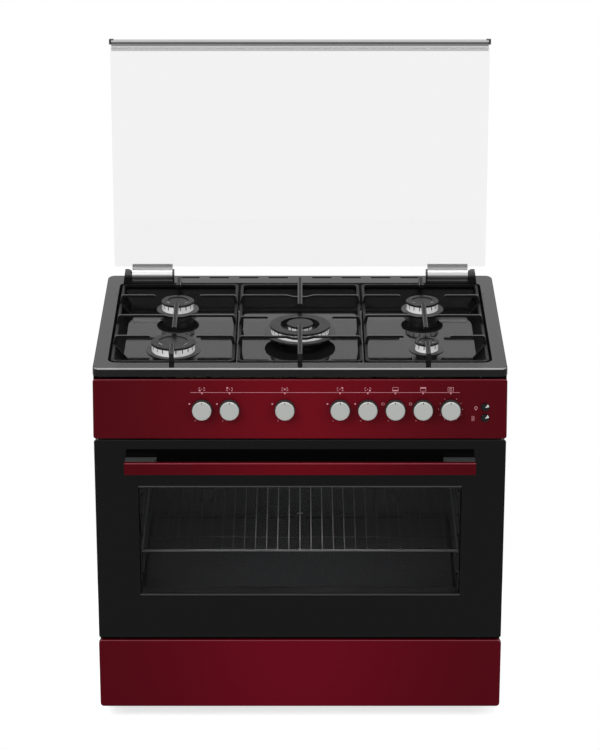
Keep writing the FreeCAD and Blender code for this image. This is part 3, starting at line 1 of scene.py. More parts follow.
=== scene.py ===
"""Scene of a wide free-standing gas cooker with a glass lid, an oven door and a drawer.

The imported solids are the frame. Each sub-assembly is a class that dresses its solids and adds
the finer pieces that belong to it. Sizes are in millimetres until they reach a mesh.
"""
from __future__ import annotations

import logging
import math
from collections.abc import Callable, Iterable
from dataclasses import dataclass, field
from enum import Enum

import bpy
from mathutils import Matrix, Vector

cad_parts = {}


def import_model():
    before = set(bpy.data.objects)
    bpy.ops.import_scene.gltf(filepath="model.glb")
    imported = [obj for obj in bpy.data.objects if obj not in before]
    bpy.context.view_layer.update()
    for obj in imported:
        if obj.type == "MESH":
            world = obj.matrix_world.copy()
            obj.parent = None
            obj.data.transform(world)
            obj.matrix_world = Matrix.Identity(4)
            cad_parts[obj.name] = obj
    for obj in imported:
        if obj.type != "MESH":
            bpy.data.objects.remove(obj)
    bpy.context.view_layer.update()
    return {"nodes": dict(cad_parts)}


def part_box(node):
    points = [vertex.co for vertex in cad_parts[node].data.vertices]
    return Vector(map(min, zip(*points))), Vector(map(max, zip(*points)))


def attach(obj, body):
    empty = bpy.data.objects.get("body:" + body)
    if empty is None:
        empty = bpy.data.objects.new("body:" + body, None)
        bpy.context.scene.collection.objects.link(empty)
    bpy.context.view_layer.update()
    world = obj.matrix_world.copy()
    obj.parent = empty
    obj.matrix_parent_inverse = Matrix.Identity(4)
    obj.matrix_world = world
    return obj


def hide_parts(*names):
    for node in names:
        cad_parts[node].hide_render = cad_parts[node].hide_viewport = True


LOG = logging.getLogger("cooker")
MM = 0.001
WHITE = (1.0, 1.0, 1.0, 1.0)
# Place of the door's and the panel's front plane along Y, in millimetres.
FRONT_MM = -287.174
# Edges blunter than this many degrees are shaded smooth.
SMOOTH_DEG = 40
# A face looks forward when its normal's y is below this.
FORWARD = -0.3
# A rounded upper edge looks up by at least this share of its normal.
EDGE_RISE = 0.45
# Steps of detail in the noise of a colour drift and of a grain.
DRIFT_DETAIL = 3.0
GRAIN_DETAIL = 2.0
# The noise values between which a colour drifts.
DRIFT_STOPS = (0.3, 0.7)
# A grain's bump is at most this many times lower than the grain is wide.
GRAIN_TO_BUMP = 10


def linear(colour: str) -> tuple[float, float, float, float]:
    """Turn an sRGB hex colour into the linear values that a shader takes.

    Args:
        colour: six hex digits after a hash sign.

    Returns:
        Red, green, blue and an alpha of one.
    """
    parts = [int(colour[start:start + 2], 16) / 255 for start in (1, 3, 5)]
    curve = [part / 12.92 if part <= 0.04045 else ((part + 0.055) / 1.055) ** 2.4
             for part in parts]
    return (curve[0], curve[1], curve[2], 1.0)


def add_node(tree: bpy.types.NodeTree, kind: str, values: dict | None = None,
             links: dict | None = None, **settings: object) -> bpy.types.Node:
    """Add a shader node with its settings, constants and incoming links.

    Args:
        tree: the node tree that takes the node.
        kind: the node's type name.
        values: constants by socket name or number.
        links: outgoing sockets of other nodes by socket name or number.
        settings: the node's own properties.

    Returns:
        The new node.
    """
    node = tree.nodes.new(kind)
    for name, value in settings.items():
        setattr(node, name, value)
    for socket, value in (values or {}).items():
        node.inputs[socket].default_value = value
    for socket, source in (links or {}).items():
        tree.links.new(source, node.inputs[socket])
    return node


@dataclass(frozen=True)
class Finish:
    """A surface of one material, with a fine bump and tone change of a real size.

    Attributes:
        name: what the material is and how it was finished.
        colour: sRGB hex.
        roughness: mean roughness.
        metallic: one for bare metal.
        specular: the shader's specular level.
        transmission: one for clear glass.
        ior: index of refraction of a dielectric.
        grain_mm: size of the surface's bumps; the finest are drawn coarser, so that they show.
        bump: height of those bumps as a share.
        tone: how far the colour drifts over the surface.
        drift_mm: size of that drift.
        stretch: drawn-out factor of the grain along X, as brushing leaves it.
    """

    name: str
    colour: str
    roughness: float
    metallic: float = 0.0
    specular: float = 0.5
    transmission: float = 0.0
    ior: float = 1.5
    grain_mm: float = 0.0
    bump: float = 0.0
    tone: float = 0.0
    drift_mm: float = 90.0
    stretch: float = 1.0

    def material(self) -> bpy.types.Material:
        """Build the material once and hand out the same one after that.

        Returns:
            The material, named for the finish.
        """
        known = bpy.data.materials.get(self.name)
        if known is not None:
            return known
        made = bpy.data.materials.new(self.name)
        made.use_nodes = True
        tree = made.node_tree
        tree.nodes.clear()
        shader = add_node(tree, "ShaderNodeBsdfPrincipled", {
            "Base Color": linear(self.colour), "Roughness": self.roughness,
            "Metallic": self.metallic, "Specular IOR Level": self.specular,
            "Transmission Weight": self.transmission, "IOR": self.ior,
        })
        place = add_node(tree, "ShaderNodeTexCoord").outputs["Object"]
        if self.tone > 0:
            self._tone(tree, shader, place)
        if self.bump > 0:
            self._bump(tree, shader, place)
        self.extend(tree, shader, place)
        if not tree.nodes.get("Out"):
            out = add_node(tree, "ShaderNodeOutputMaterial", None,
                           {"Surface": shader.outputs["BSDF"]})
            out.name = "Out"
        return made

    def _tone(self, tree: bpy.types.NodeTree, shader: bpy.types.Node,
              place: bpy.types.NodeSocket) -> None:
        """Let the colour drift slowly over the surface.

        Args:
            tree: the material's nodes.
            shader: the surface shader.
            place: the coordinates.
        """
        noise = add_node(tree, "ShaderNodeTexNoise",
                         {"Scale": 1 / (self.drift_mm * MM), "Detail": DRIFT_DETAIL},
                         {"Vector": place})
        ramp = add_node(tree, "ShaderNodeValToRGB", None, {"Fac": noise.outputs["Fac"]})
        base = linear(self.colour)
        for stop, factor in zip(ramp.color_ramp.elements, (1 - self.tone, 1 + self.tone)):
            stop.color = tuple(min(1.0, part * factor) for part in base[:3]) + (1.0,)
        for stop, position in zip(ramp.color_ramp.elements, DRIFT_STOPS):
            stop.position = position
        tree.links.new(ramp.outputs["Color"], shader.inputs["Base Color"])

    def _bump(self, tree: bpy.types.NodeTree, shader: bpy.types.Node,
              place: bpy.types.NodeSocket) -> None:
        """Give the surface its grain.

        Args:
            tree: the material's nodes.
            shader: the surface shader.
            place: the coordinates.
        """
        spread = add_node(tree, "ShaderNodeMapping", {"Scale": (1 / self.stretch, 1.0, 1.0)},
                          {"Vector": place})
        noise = add_node(tree, "ShaderNodeTexNoise",
                         {"Scale": 1 / (self.grain_mm * MM), "Detail": GRAIN_DETAIL},
                         {"Vector": spread.outputs["Vector"]})
        bump = add_node(tree, "ShaderNodeBump",
                        {"Strength": self.bump,
                         "Distance": self.grain_mm * MM / GRAIN_TO_BUMP},
                        {"Height": noise.outputs["Fac"]})
        tree.links.new(bump.outputs["Normal"], shader.inputs["Normal"])

    def extend(self, tree: bpy.types.NodeTree, shader: bpy.types.Node,
               place: bpy.types.NodeSocket) -> None:
        """Leave room for a finish that adds more; a plain one adds nothing.

        Args:
            tree: the material's nodes; not used by a plain finish.
            shader: the surface shader; not used by a plain finish.
            place: the coordinates; not used by a plain finish.
        """


@dataclass(frozen=True)
class PrintedGlass(Finish):
    """Tempered glass with black enamel fired on its back round a clear window.

    Attributes:
        window: lowest x, highest x, lowest z and highest z of the window in metres.
        window_colour: tint of the window, sRGB hex.
        window_ior: index of refraction there, low so that the inside stays in view.
        window_specular: the clear glass's specular level.
        line: height of the grey line along the window's top and bottom in metres.
        line_colour: of that line, sRGB hex.
        line_roughness: of that line.
    """

    window: tuple[float, float, float, float] = (0.0, 0.0, 0.0, 0.0)
    window_colour: str = "#d6d6d6"
    window_ior: float = 1.1
    window_specular: float = 0.5
    line: float = 0.0
    line_colour: str = "#404040"
    line_roughness: float = 0.4

    def inside(self, tree: bpy.types.NodeTree, axes: bpy.types.Node,
               margin: float) -> bpy.types.NodeSocket:
        """One inside the window, made higher by a margin at its top and bottom.

        Args:
            tree: the material's nodes.
            axes: the node with the coordinates' parts.
            margin: in metres.

        Returns:
            The socket with that value.
        """
        left, right, low, high = self.window
        tests = [("X", "GREATER_THAN", left), ("X", "LESS_THAN", right),
                 ("Z", "GREATER_THAN", low - margin), ("Z", "LESS_THAN", high + margin)]
        mask = None
        for axis, test, limit in tests:
            step = add_node(tree, "ShaderNodeMath", {1: limit}, {0: axes.outputs[axis]},
                            operation=test)
            if mask is None:
                mask = step
            else:
                mask = add_node(tree, "ShaderNodeMath", None,
                                {0: mask.outputs[0], 1: step.outputs[0]}, operation="MULTIPLY")
        return mask.outputs[0]

    def extend(self, tree: bpy.types.NodeTree, shader: bpy.types.Node,
               place: bpy.types.NodeSocket) -> None:
        """Open the window in the black print, with a grey line above and below it.

        Args:
            tree: the material's nodes.
            shader: the black glass's shader.
            place: the coordinates.
        """
        axes = add_node(tree, "ShaderNodeSeparateXYZ", None, {"Vector": place})
        grey = add_node(tree, "ShaderNodeBsdfPrincipled", {
            "Base Color": linear(self.line_colour), "Roughness": self.line_roughness,
            "Specular IOR Level": self.specular})
        lined = add_node(tree, "ShaderNodeMixShader", None, {
            0: self.inside(tree, axes, self.line), 1: shader.outputs["BSDF"],
            2: grey.outputs["BSDF"]})
        clear = add_node(tree, "ShaderNodeBsdfPrincipled", {
            "Base Color": linear(self.window_colour), "Roughness": 0.0,
            "Transmission Weight": 1.0, "IOR": self.window_ior,
            "Specular IOR Level": self.window_specular,
        })
        mix = add_node(tree, "ShaderNodeMixShader", None, {
            0: self.inside(tree, axes, 0.0), 1: lined.outputs[0], 2: clear.outputs["BSDF"]})
        out = add_node(tree, "ShaderNodeOutputMaterial", None, {"Surface": mix.outputs[0]})
        out.name = "Out"


@dataclass(frozen=True)
class PaintedFalloff(Finish):
    """A finish with painted shade: its colour deepens towards both ends of a wide piece.

    Attributes:
        reach_mm: half the width over which it deepens.
        painted_shade: share of the colour that the painted shade takes away at the ends.
    """

    reach_mm: float = 450.0
    painted_shade: float = 0.0

    def extend(self, tree: bpy.types.NodeTree, shader: bpy.types.Node,
               place: bpy.types.NodeSocket) -> None:
        """Deepen the colour by the distance from the middle, as painted shade.

        Args:
            tree: the material's nodes.
            shader: the surface shader.
            place: the coordinates.
        """
        axes = add_node(tree, "ShaderNodeSeparateXYZ", None, {"Vector": place})
        away = add_node(tree, "ShaderNodeMath", None, {0: axes.outputs["X"]},
                        operation="ABSOLUTE")
        span = add_node(tree, "ShaderNodeMapRange", {"From Max": self.reach_mm * MM},
                        {"Value": away.outputs[0]}, interpolation_type="SMOOTHSTEP")
        ramp = add_node(tree, "ShaderNodeValToRGB", None, {"Fac": span.outputs["Result"]})
        base = linear(self.colour)
        for stop, factor in zip(ramp.color_ramp.elements, (1.0, 1 - self.painted_shade)):
            stop.color = tuple(part * factor for part in base[:3]) + (1.0,)
        tree.links.new(ramp.outputs["Color"], shader.inputs["Base Color"])


class Surface(Enum):
    """Every finish on the cooker."""

    # Vitreous enamel over pressed steel: deep wine red with a wet gloss, with painted shade to
    # the sides.
    WINE_ENAMEL = PaintedFalloff("wine red vitreous enamel", "#630815", 0.26, specular=0.05,
                         grain_mm=6.0, bump=0.015, painted_shade=0.5)
    # The drawer's face catches less light than the panel's, and painted shade darkens it to its
    # ends.
    WINE_PAINT = PaintedFalloff("wine red painted steel", "#600516", 0.3, specular=0.04,
                        grain_mm=6.0, bump=0.015, painted_shade=0.36)
    # Painted highlight: rounded edges, which catch the light, are coloured as a pale red line.
    WINE_PAINTED_HIGHLIGHT = Finish("painted highlight on a wine red edge", "#7e333c", 0.2, specular=0.3)
    # The flat handle: anodised to match the panel, a soft metallic sheen, with painted shade
    # towards both ends. Its drawing lines, 0.1 mm apart, are drawn 1.2 mm wide to show.
    WINE_ANODISED = PaintedFalloff("wine red anodised aluminium", "#5a0511", 0.3, specular=0.04,
                           grain_mm=1.2, bump=0.02, stretch=30.0, reach_mm=380.0, painted_shade=0.4)
    # Pressed hob in black vitreous enamel: fired glass that looks grey where it mirrors the
    # room, with faint orange peel.
    HOB_ENAMEL = Finish("black vitreous enamel", "#121212", 0.06, specular=0.28,
                        grain_mm=5.0, bump=0.01)
    # Painted highlight: a bright line coloured along the hob's rounded front edge.
    HOB_PAINTED_HIGHLIGHT = Finish("painted highlight on the hob's front edge", "#8e8e8e", 0.25, specular=0.3)
    # Painted shade: the enamel coloured darker on upright faces and on the rear of a cap's
    # dish.
    HOB_SHADE = Finish("black enamel darkened as painted shade", "#080808", 0.3, specular=0.03)
    # Painted light: the turned-down rim has the same enamel, coloured lighter so that it looks
    # dark grey against the panel.
    HOB_SKIRT_PAINTED_LIGHT = Finish("black enamel on the hob's rim, lightened as painted light", "#1b1b1b", 0.3,
                       specular=0.06)
    # Matt black enamel on the pan supports: grit of 0.2 mm that scatters the light, drawn
    # as 1.5 mm to show.
    GRATE_ENAMEL = Finish("matt black enamel on bent steel", "#0e0e0e", 0.45, specular=0.12,
                          grain_mm=1.5, bump=0.12, tone=0.08, drift_mm=30.0)
    # Painted highlight: their tops coloured grey as a glint along each finger.
    GRATE_PAINTED_HIGHLIGHT = Finish("painted highlight on black enamel", "#2b2b2b", 0.34, specular=0.4,
                       grain_mm=1.5, bump=0.06)
    # Pressed steel in satin enamel: an even dark grey disc, its 0.2 mm grit drawn as 1.5 mm.
    CAP_ENAMEL = Finish("satin black enamel on a pressed cap", "#101011", 0.26, specular=0.13,
                        grain_mm=1.5, bump=0.04)
    # Painted reflection: the dish's slope towards the viewer is coloured as the light crescent
    # where it mirrors the room.
    CAP_PAINTED_REFLECTION = Finish("painted reflection in a cap's dish", "#b4b4b4", 0.3, specular=0.3)
    # Die-cast aluminium, tumbled: pale, soft glints, its 0.2 mm dents drawn as 0.8 mm.
    CAST_ALUMINIUM = Finish("polished die-cast aluminium", "#bcbcba", 0.2, metallic=1.0,
                            grain_mm=0.8, bump=0.02)
    # Left as cast: a dull metal, coloured dark as painted shade in the pots and in the large
    # head's sunk middle.
    POT_PAINTED_SHADE = Finish("die-cast aluminium darkened as painted shade", "#3a3a3a", 0.38, metallic=0.75,
                           grain_mm=0.8, bump=0.1)
    # Turned on a lathe and coloured white as a painted highlight, so that the bands under the
    # caps look almost white. Full metal would mirror the black hob instead.
    CROWN_PAINTED_HIGHLIGHT = Finish("turned aluminium painted white as a highlight", "#ffffff", 0.3)
    # Drawn and brushed along its length: the light is stretched across the grain, whose
    # lines of 0.1 mm are drawn 1 mm wide to show.
    BRUSHED_ALUMINIUM = Finish("brushed aluminium profile", "#b9b9b9", 0.32, metallic=0.9,
                               grain_mm=1.0, bump=0.1, stretch=60.0)
    # The same metal coloured by where it lies on the profile, as painted light: painted
    # highlight on the rib, a duller flat, painted shade in the groove.
    PROFILE_PAINTED_HIGHLIGHT = Finish("painted highlight on the profile's rib", "#cfcfcf", 0.24, metallic=0.9)
    PROFILE_PAINTED_HALF_SHADE = Finish("painted half shade on the profile's flat", "#8c8c8c", 0.36, metallic=0.9)
    PROFILE_PAINTED_SHADE = Finish("painted shade in the profile's groove", "#626262", 0.4, metallic=0.9)
    # Sprayed as powder and baked: a dull, even dark grey with a fine pebble.
    BODY_PAINT = Finish("dark grey powder-coated steel", "#232324", 0.5, grain_mm=1.0, bump=0.1)
    # Fired on the oven's sheets: dark and soft, so that the lamp's light spreads over it.
    OVEN_ENAMEL = Finish("black pyrolytic enamel", "#2c2c2e", 0.5, specular=0.3,
                         grain_mm=4.0, bump=0.05)
    # Hot-dipped: cold grey with pale and dark flakes.
    ZINC = Finish("zinc-coated sheet steel", "#9a9da0", 0.42, metallic=0.8, tone=0.12,
                  drift_mm=14.0)
    # Plated wire dulled by the oven: the front rail is one soft grey line.
    CHROME_WIRE = Finish("chrome-plated wire", "#7c7c7c", 0.5, metallic=0.8)
    # Painted shade: the cross wires under the shelf are coloured dark for the shade they lie
    # in.
    WIRE_PAINTED_SHADE = Finish("wire darkened as painted shade", "#242322", 0.5, specular=0.2)
    # Painted light and shade: bright in the middle, where the lamp is, darker towards the
    # oven's walls.
    SATIN_WIRE = PaintedFalloff("satin nickel-plated wire", "#8a8a8a", 0.4, metallic=0.1,
                        specular=0.2, reach_mm=190.0, painted_shade=0.93)
    # Turned and unplated: warm yellow taps.
    BRASS = Finish("turned brass", "#b08d48", 0.3, metallic=1.0)
    # Moulded with a spark grain of 0.1 mm, drawn as 0.8 mm: black without a clear highlight.
    BLACK_PLASTIC = Finish("moulded black plastic", "#151516", 0.45, grain_mm=0.8, bump=0.08)
    # Moulded in a polished tool: black with a small sharp highlight.
    GLOSS_PLASTIC = Finish("polished black plastic", "#0b0d0b", 0.12, specular=0.15)
    # Painted glint: one bright wedge in the button's face.
    BUTTON_PAINTED_GLINT = Finish("painted glint on a button", "#c2c4c1", 0.2, metallic=0.6)
    # Ground after cutting: a matt grey edge round the glossy glass.
    GROUND_EDGE = Finish("ground edge of the door glass", "#303232", 0.4)
    # Glass-filled and moulded: graphite grey and slightly rough, grain as on the black one.
    BRACKET_PLASTIC = Finish("moulded graphite plastic", "#3a3c3b", 0.42, grain_mm=0.8,
                             bump=0.06)
    # Plated over a blasted face: pale grey and even, with no mirror image; its 0.1 mm grain
    # is drawn as 0.6 mm.
    SILVER = Finish("satin silver plating on a knob", "#a9aba8", 0.34, metallic=0.85,
                    grain_mm=0.6, bump=0.04)
    # The rim is coloured lighter than the face.
    SILVER_RING = Finish("silver rim of a knob", "#b6bab6", 0.45, metallic=0.6)
    # The knob's side is chromed darker than its face and mirrors the panel.
    SMOKED_CHROME = Finish("smoked chrome knob skirt", "#6c736e", 0.34, metallic=0.8)
    # Moulded: the base is a dark ring that parts the knob from the panel.
    KNOB_BLACK = Finish("moulded black knob base", "#101011", 0.35)
    # Extruded rubber: black and dull.
    SEAL = Finish("silicone rubber seal", "#1a1a1b", 0.6)
    # Spun fibres pressed to a mat: straw colour, no shine. Its fibres are too fine to show
    # and are drawn as 3 mm tufts.
    WOOL = Finish("mineral wool blanket", "#b9b08c", 0.95, grain_mm=3.0, bump=0.6, tone=0.15,
                  drift_mm=12.0)
    # Fired without glaze: chalk white and matt.
    CERAMIC = Finish("unglazed white ceramic", "#e6e3d8", 0.55)
    # Pressed glass over the unlit bulb: a dark, dull disc.
    LAMP_GLASS = Finish("smoked lamp cover", "#2c2c2a", 0.3)
    # Clear float glass: no tint to the eye, only a thin reflection.
    LID_GLASS = Finish("clear tempered glass", "#f2f2f2", 0.0, transmission=1.0, ior=1.2,
                       specular=0.3)
    # Coated against heat: it dims the inside a little and hardly mirrors.
    INNER_GLASS = Finish("heat-reflecting tempered glass", "#eef0ee", 0.0, transmission=1.0,
                         ior=1.1, specular=0.2)
    # Pale ink on red: it reads as thin pink lines.
    PRINT = Finish("pale pink screen print", "#c07f89", 0.6)

    def apply(self, *objects: bpy.types.Object) -> None:
        """Give this finish to objects as their only material.

        Args:
            objects: meshes to dress.
        """
        for obj in objects:
            obj.data.materials.clear()
            obj.data.materials.append(self.value.material())


def deselect() -> None:
    """Leave object mode clean, with nothing selected."""
    if bpy.context.object and bpy.context.object.mode != "OBJECT":
        bpy.ops.object.mode_set(mode="OBJECT")
    bpy.ops.object.select_all(action="DESELECT")


def settle(obj: bpy.types.Object) -> bpy.types.Object:
    """Move an object's place, turn and size into its mesh.

    Args:
        obj: the object.

    Returns:
        The same object, at the origin.
    """
    deselect()
    obj.select_set(True)
    bpy.context.view_layer.objects.active = obj
    bpy.ops.object.transform_apply(location=True, rotation=True, scale=True)
    return obj


def tube(name: str, start: Vector, end: Vector, radius: float,
         sides: int = 16) -> bpy.types.Object:
    """A round bar from one point to another.

    Args:
        name: the object's name.
        start: middle of one end in metres.
        end: middle of the other end.
        radius: in metres.
        sides: faces round it.

    Returns:
        The bar.
    """
    deselect()
    run = end - start
    turn = run.to_track_quat("Z", "Y").to_euler()
    bpy.ops.mesh.primitive_cylinder_add(vertices=sides, radius=radius, depth=run.length,
                                        location=(start + end) / 2, rotation=turn)
    made = settle(bpy.context.object)
    made.name = name
    bpy.ops.object.shade_smooth_by_angle(angle=math.radians(SMOOTH_DEG))
    return made


def join(name: str, parts: Iterable[bpy.types.Object]) -> bpy.types.Object:
    """Join several objects into one.

    Args:
        name: name of the joined object.
        parts: the objects.

    Returns:
        The joined object.
    """
    deselect()
    pieces = list(parts)
    for piece in pieces:
        piece.select_set(True)
    bpy.context.view_layer.objects.active = pieces[0]
    bpy.ops.object.join()
    made = bpy.context.object
    made.name = name
    return made


def paint_faces(obj: bpy.types.Object, surfaces: list[Surface],
                choose: Callable[[Vector, Vector], int]) -> None:
    """Give each face of a solid one of several finishes by its place.

    Args:
        obj: the mesh.
        surfaces: the finishes, in order.
        choose: takes a face's middle and normal, and gives the finish's number.
    """
    obj.data.materials.clear()
    for surface in surfaces:
        obj.data.materials.append(surface.value.material())
    for face in obj.data.polygons:
        face.material_index = choose(face.center, face.normal)


def lit_edge(normal: Vector, rise: float = EDGE_RISE) -> bool:
    """Tell whether a face looks both forward and up, as a rounded upper edge does.

    Args:
        normal: the face's normal.
        rise: least upward share of the normal.

    Returns:
        True on such an edge.
    """
    return normal.y < FORWARD and normal.z > rise


def bright_edges(obj: bpy.types.Object, surface: Surface, edge: Surface,
                 rise: float = EDGE_RISE) -> None:
    """Give a solid one finish, and another on the edge that is rounded towards the light.

    Args:
        obj: the mesh.
        surface: the finish of the flats.
        edge: the finish of the painted highlight, where a face looks both up and forward.
        rise: least upward share of such a face's normal.
    """
    paint_faces(obj, [surface, edge], lambda middle, normal: int(lit_edge(normal, rise)))


@dataclass
class Body:
    """The cabinet and everything that stays behind its sheets.

    Attributes:
        nodes: the frame's nodes.
    """

    nodes: dict[str, bpy.types.Object]

    def dress(self) -> None:
        """Give the fixed pieces of the cabinet their finishes."""
        plan = {
            Surface.BODY_PAINT: ("side_panels",),
            Surface.ZINC: ("back_panel", "panel_screws", "base_pan", "drawer_runners",
                           "gas_pipework", "door_hinge_arms"),
            Surface.BLACK_PLASTIC: ("power_gland", "adjustable_feet", "timer_and_switches"),
            Surface.OVEN_ENAMEL: ("front_frame", "oven_liner", "oven_floor_plate"),
            Surface.BRASS: ("gas_taps",),
            Surface.WOOL: ("insulation_blanket",),
            Surface.SEAL: ("oven_gasket",),
        }
        for surface, names in plan.items():
            surface.apply(*(self.nodes[name] for name in names))
        LOG.info("cabinet dressed")


@dataclass
class Oven:
    """The oven's inside: burners, lamp and wire shelf.

    Attributes:
        nodes: the frame's nodes.
        cover_mm: how far the lamp's glass stands in front of the oven's rear wall.
        wire_mm: radius of the shelf's frame.
        thin_mm: radius of its thinner wires.
        thin_sides: faces round a thin wire.
        pitch_mm: from one wire to the next.
        lip_mm: from the front rail back to the first cross wire.
        cross_mm: from the front rail back to the second one.
    """

    nodes: dict[str, bpy.types.Object]
    cover_mm: float = 2.0
    wire_mm: float = 3.0
    thin_mm: float = 1.5
    thin_sides: int = 8
    pitch_mm: float = 25.0
    lip_mm: float = 14.0
    cross_mm: float = 75.0

    def dress(self) -> None:
        """Give the oven's loose pieces their finishes."""
        Surface.ZINC.apply(self.nodes["oven_burner"], self.nodes["grill_burner"])
        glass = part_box("oven_liner")[1].y - self.cover_mm * MM
        paint_faces(self.nodes["oven_lamp"], [Surface.CERAMIC, Surface.LAMP_GLASS],
                    lambda middle, normal: int(middle.y < glass))
        self.shelf()
        LOG.info("oven dressed")

    def shelf(self) -> bpy.types.Object:
        """Make the round wires of the shelf over its many-sided solid.

        Returns:
            The wire shelf.
        """
        low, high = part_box("oven_rack")
        # The solid's rods have eight sides and its wires four: these are their half widths.
        wire = self.wire_mm * MM * math.cos(math.pi / 8)
        thin = self.thin_mm * MM / math.sqrt(2)
        z = low.z + wire
        left, right = low.x + wire, high.x - wire
        front, rear = low.y + wire, high.y - wire
        rails = [tube("bar", Vector((left, y, z)), Vector((right, y, z)), wire)
                 for y in (front, rear)]
        rails += [tube("bar", Vector((x, front, z)), Vector((x, rear, z)), wire)
                  for x in (left, right)]
        Surface.CHROME_WIRE.apply(*rails)
        crosses = [tube("bar", Vector((left, front + reach * MM, z - thin)),
                        Vector((right, front + reach * MM, z - thin)), thin, self.thin_sides)
                   for reach in (self.lip_mm, self.cross_mm)]
        # The cross wires are coloured dark as painted shade.
        Surface.WIRE_PAINTED_SHADE.apply(*crosses)
        count = int(-left / (self.pitch_mm * MM))
        over = z + self.thin_mm * MM
        wires = [tube("bar", Vector((x, front, over)), Vector((x, rear, over)), thin,
                      self.thin_sides)
                 for x in (index * self.pitch_mm * MM for index in range(-count, count + 1))]
        # The wires darken towards the oven's walls as painted shade.
        Surface.SATIN_WIRE.apply(*wires)
        shelf = join("wire_shelf", rails + crosses + wires)
        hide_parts("oven_rack")
        LOG.info("%s made", shelf.name)
        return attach(shelf, "cabinet")


@dataclass
class Hob:
    """Hob plate, burners and pan supports.

    Attributes:
        nodes: the frame's nodes.
        edge_mm: depth of the front edge that carries the painted highlight.
        upright_share: a face is upright when its normal's rise is below this.
        highlight_mm: depth below a support's top that counts as its top.
        finger_rise: the top of a finger looks up by at least this.
        level_rise: a level face looks up by more than this.
        wall_mm: depth within a crown's outside that counts as its wall.
        wall_rise: a crown's wall looks up by less than this.
        well_mm: radius of the sunk middle of the large burner's head.
        dish_rise: the slope of a cap's dish looks up by more and by less than these.
        dish_turn: that slope keeps its enamel where it looks aside, with Y below this.
        rod_half_mm: half the width of a support's front-to-back rod.
        rod_shift_mm: how far that rod stands from the support's middle along X.
    """

    nodes: dict[str, bpy.types.Object]
    edge_mm: float = 12.0
    upright_share: float = 0.9
    highlight_mm: float = 8.0
    finger_rise: float = 0.5
    level_rise: float = 0.98
    wall_mm: float = 4.0
    wall_rise: float = 0.3
    well_mm: float = 43.0
    dish_rise: tuple[float, float] = (0.6, 0.99)
    dish_turn: float = 0.12
    rod_half_mm: float = 5.3
    rod_shift_mm: dict[str, float] = field(default_factory=lambda: {
        "pan_support_left": -2.5, "pan_support_centre": 0.0, "pan_support_right": 2.5})

    def dress(self) -> None:
        """Give the hob and what lies on it their finishes."""
        self.plate()
        for name in ("left", "centre", "right"):
            self.support("pan_support_" + name)
        Surface.POT_PAINTED_SHADE.apply(self.nodes["burner_pots"])
        heads = ["centre_burner_head"]
        caps = ["centre_ring_cap", "centre_cap"]
        for corner in ("front_left", "rear_left", "rear_right", "front_right"):
            heads.append(corner + "_head")
            caps.append(corner + "_cap")
        for name in heads:
            self.head(name)
        for name in caps:
            self.cap(name)
        Surface.CERAMIC.apply(self.nodes["ignition_electrodes"])
        LOG.info("hob dressed")

    def plate(self) -> None:
        """Enamel the plate: painted shade upright, painted highlight and light along the front.
        """
        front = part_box("hob_plate")[0].y + self.edge_mm * MM

        def choose(middle: Vector, normal: Vector) -> int:
            """Number of the finish for a face of the plate.

            Args:
                middle: the face's middle.
                normal: its normal.

            Returns:
                The finish's place in the list.
            """
            if middle.y < front and normal.y < FORWARD:
                return 1 if lit_edge(normal) else 3
            return 2 if abs(normal.z) < self.upright_share else 0

        paint_faces(self.nodes["hob_plate"],
                    [Surface.HOB_ENAMEL, Surface.HOB_PAINTED_HIGHLIGHT, Surface.HOB_SHADE,
                     Surface.HOB_SKIRT_PAINTED_LIGHT], choose)

    def support(self, name: str) -> None:
        """Give a pan support its enamel, with a painted highlight on the tops of its fingers.

        Args:
            name: the support's node.
        """
        low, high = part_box(name)
        top = high.z - self.highlight_mm * MM
        line = (low.x + high.x) / 2 + self.rod_shift_mm[name] * MM

        def choose(middle: Vector, normal: Vector) -> int:
            """Number of the finish for a face of the support.

            Args:
                middle: the face's middle.
                normal: its normal.

            Returns:
                The finish's place in the list.
            """
            if middle.z < top or normal.z < self.finger_rise:
                return 0
            beside = abs(middle.x - line) >= self.rod_half_mm * MM
            return int(beside or normal.z <= self.level_rise)

        paint_faces(self.nodes[name], [Surface.GRATE_ENAMEL, Surface.GRATE_PAINTED_HIGHLIGHT], choose)

    def head(self, name: str) -> None:
        """Cast metal for a burner head: painted highlight on the crowns, painted shade in the
        well.

        Args:
            name: the head's node.
        """
        low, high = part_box(name)
        centre = (low + high) / 2
        rim = (high.x - low.x) / 2 - self.wall_mm * MM
        well = self.well_mm * MM if name.startswith("centre") else 0.0

        def choose(middle: Vector, normal: Vector) -> int:
            """Number of the finish for a face of the head.

            Args:
                middle: the face's middle.
                normal: its normal.

            Returns:
                The finish's place in the list.
            """
            away = Vector((middle.x - centre.x, middle.y - centre.y, 0))
            outward = abs(normal.z) < self.wall_rise and away.dot(normal) > 0
            if away.length < well:
                return 1 if outward else 2
            return int(outward and away.length > rim)

        paint_faces(self.nodes[name], [Surface.CAST_ALUMINIUM, Surface.CROWN_PAINTED_HIGHLIGHT,
                                       Surface.POT_PAINTED_SHADE], choose)

    def cap(self, name: str) -> None:
        """Give a cap its enamel: painted reflection on the dish's front, painted shade on its
        rear.

        Args:
            name: the cap's node.
        """
        low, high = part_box(name)
        centre = (low + high) / 2
        least, most = self.dish_rise

        def choose(middle: Vector, normal: Vector) -> int:
            """Number of the finish for a face of the cap.

            Args:
                middle: the face's middle.
                normal: its normal.

            Returns:
                The finish's place in the list.
            """
            inward = (middle - centre).xy.dot(normal.xy) < 0
            if not inward or not least < normal.z < most or abs(normal.y) < self.dish_turn:
                return 0
            return 1 if normal.y > 0 else 2

        paint_faces(self.nodes[name],
                    [Surface.CAP_ENAMEL, Surface.CAP_PAINTED_REFLECTION, Surface.HOB_SHADE], choose)


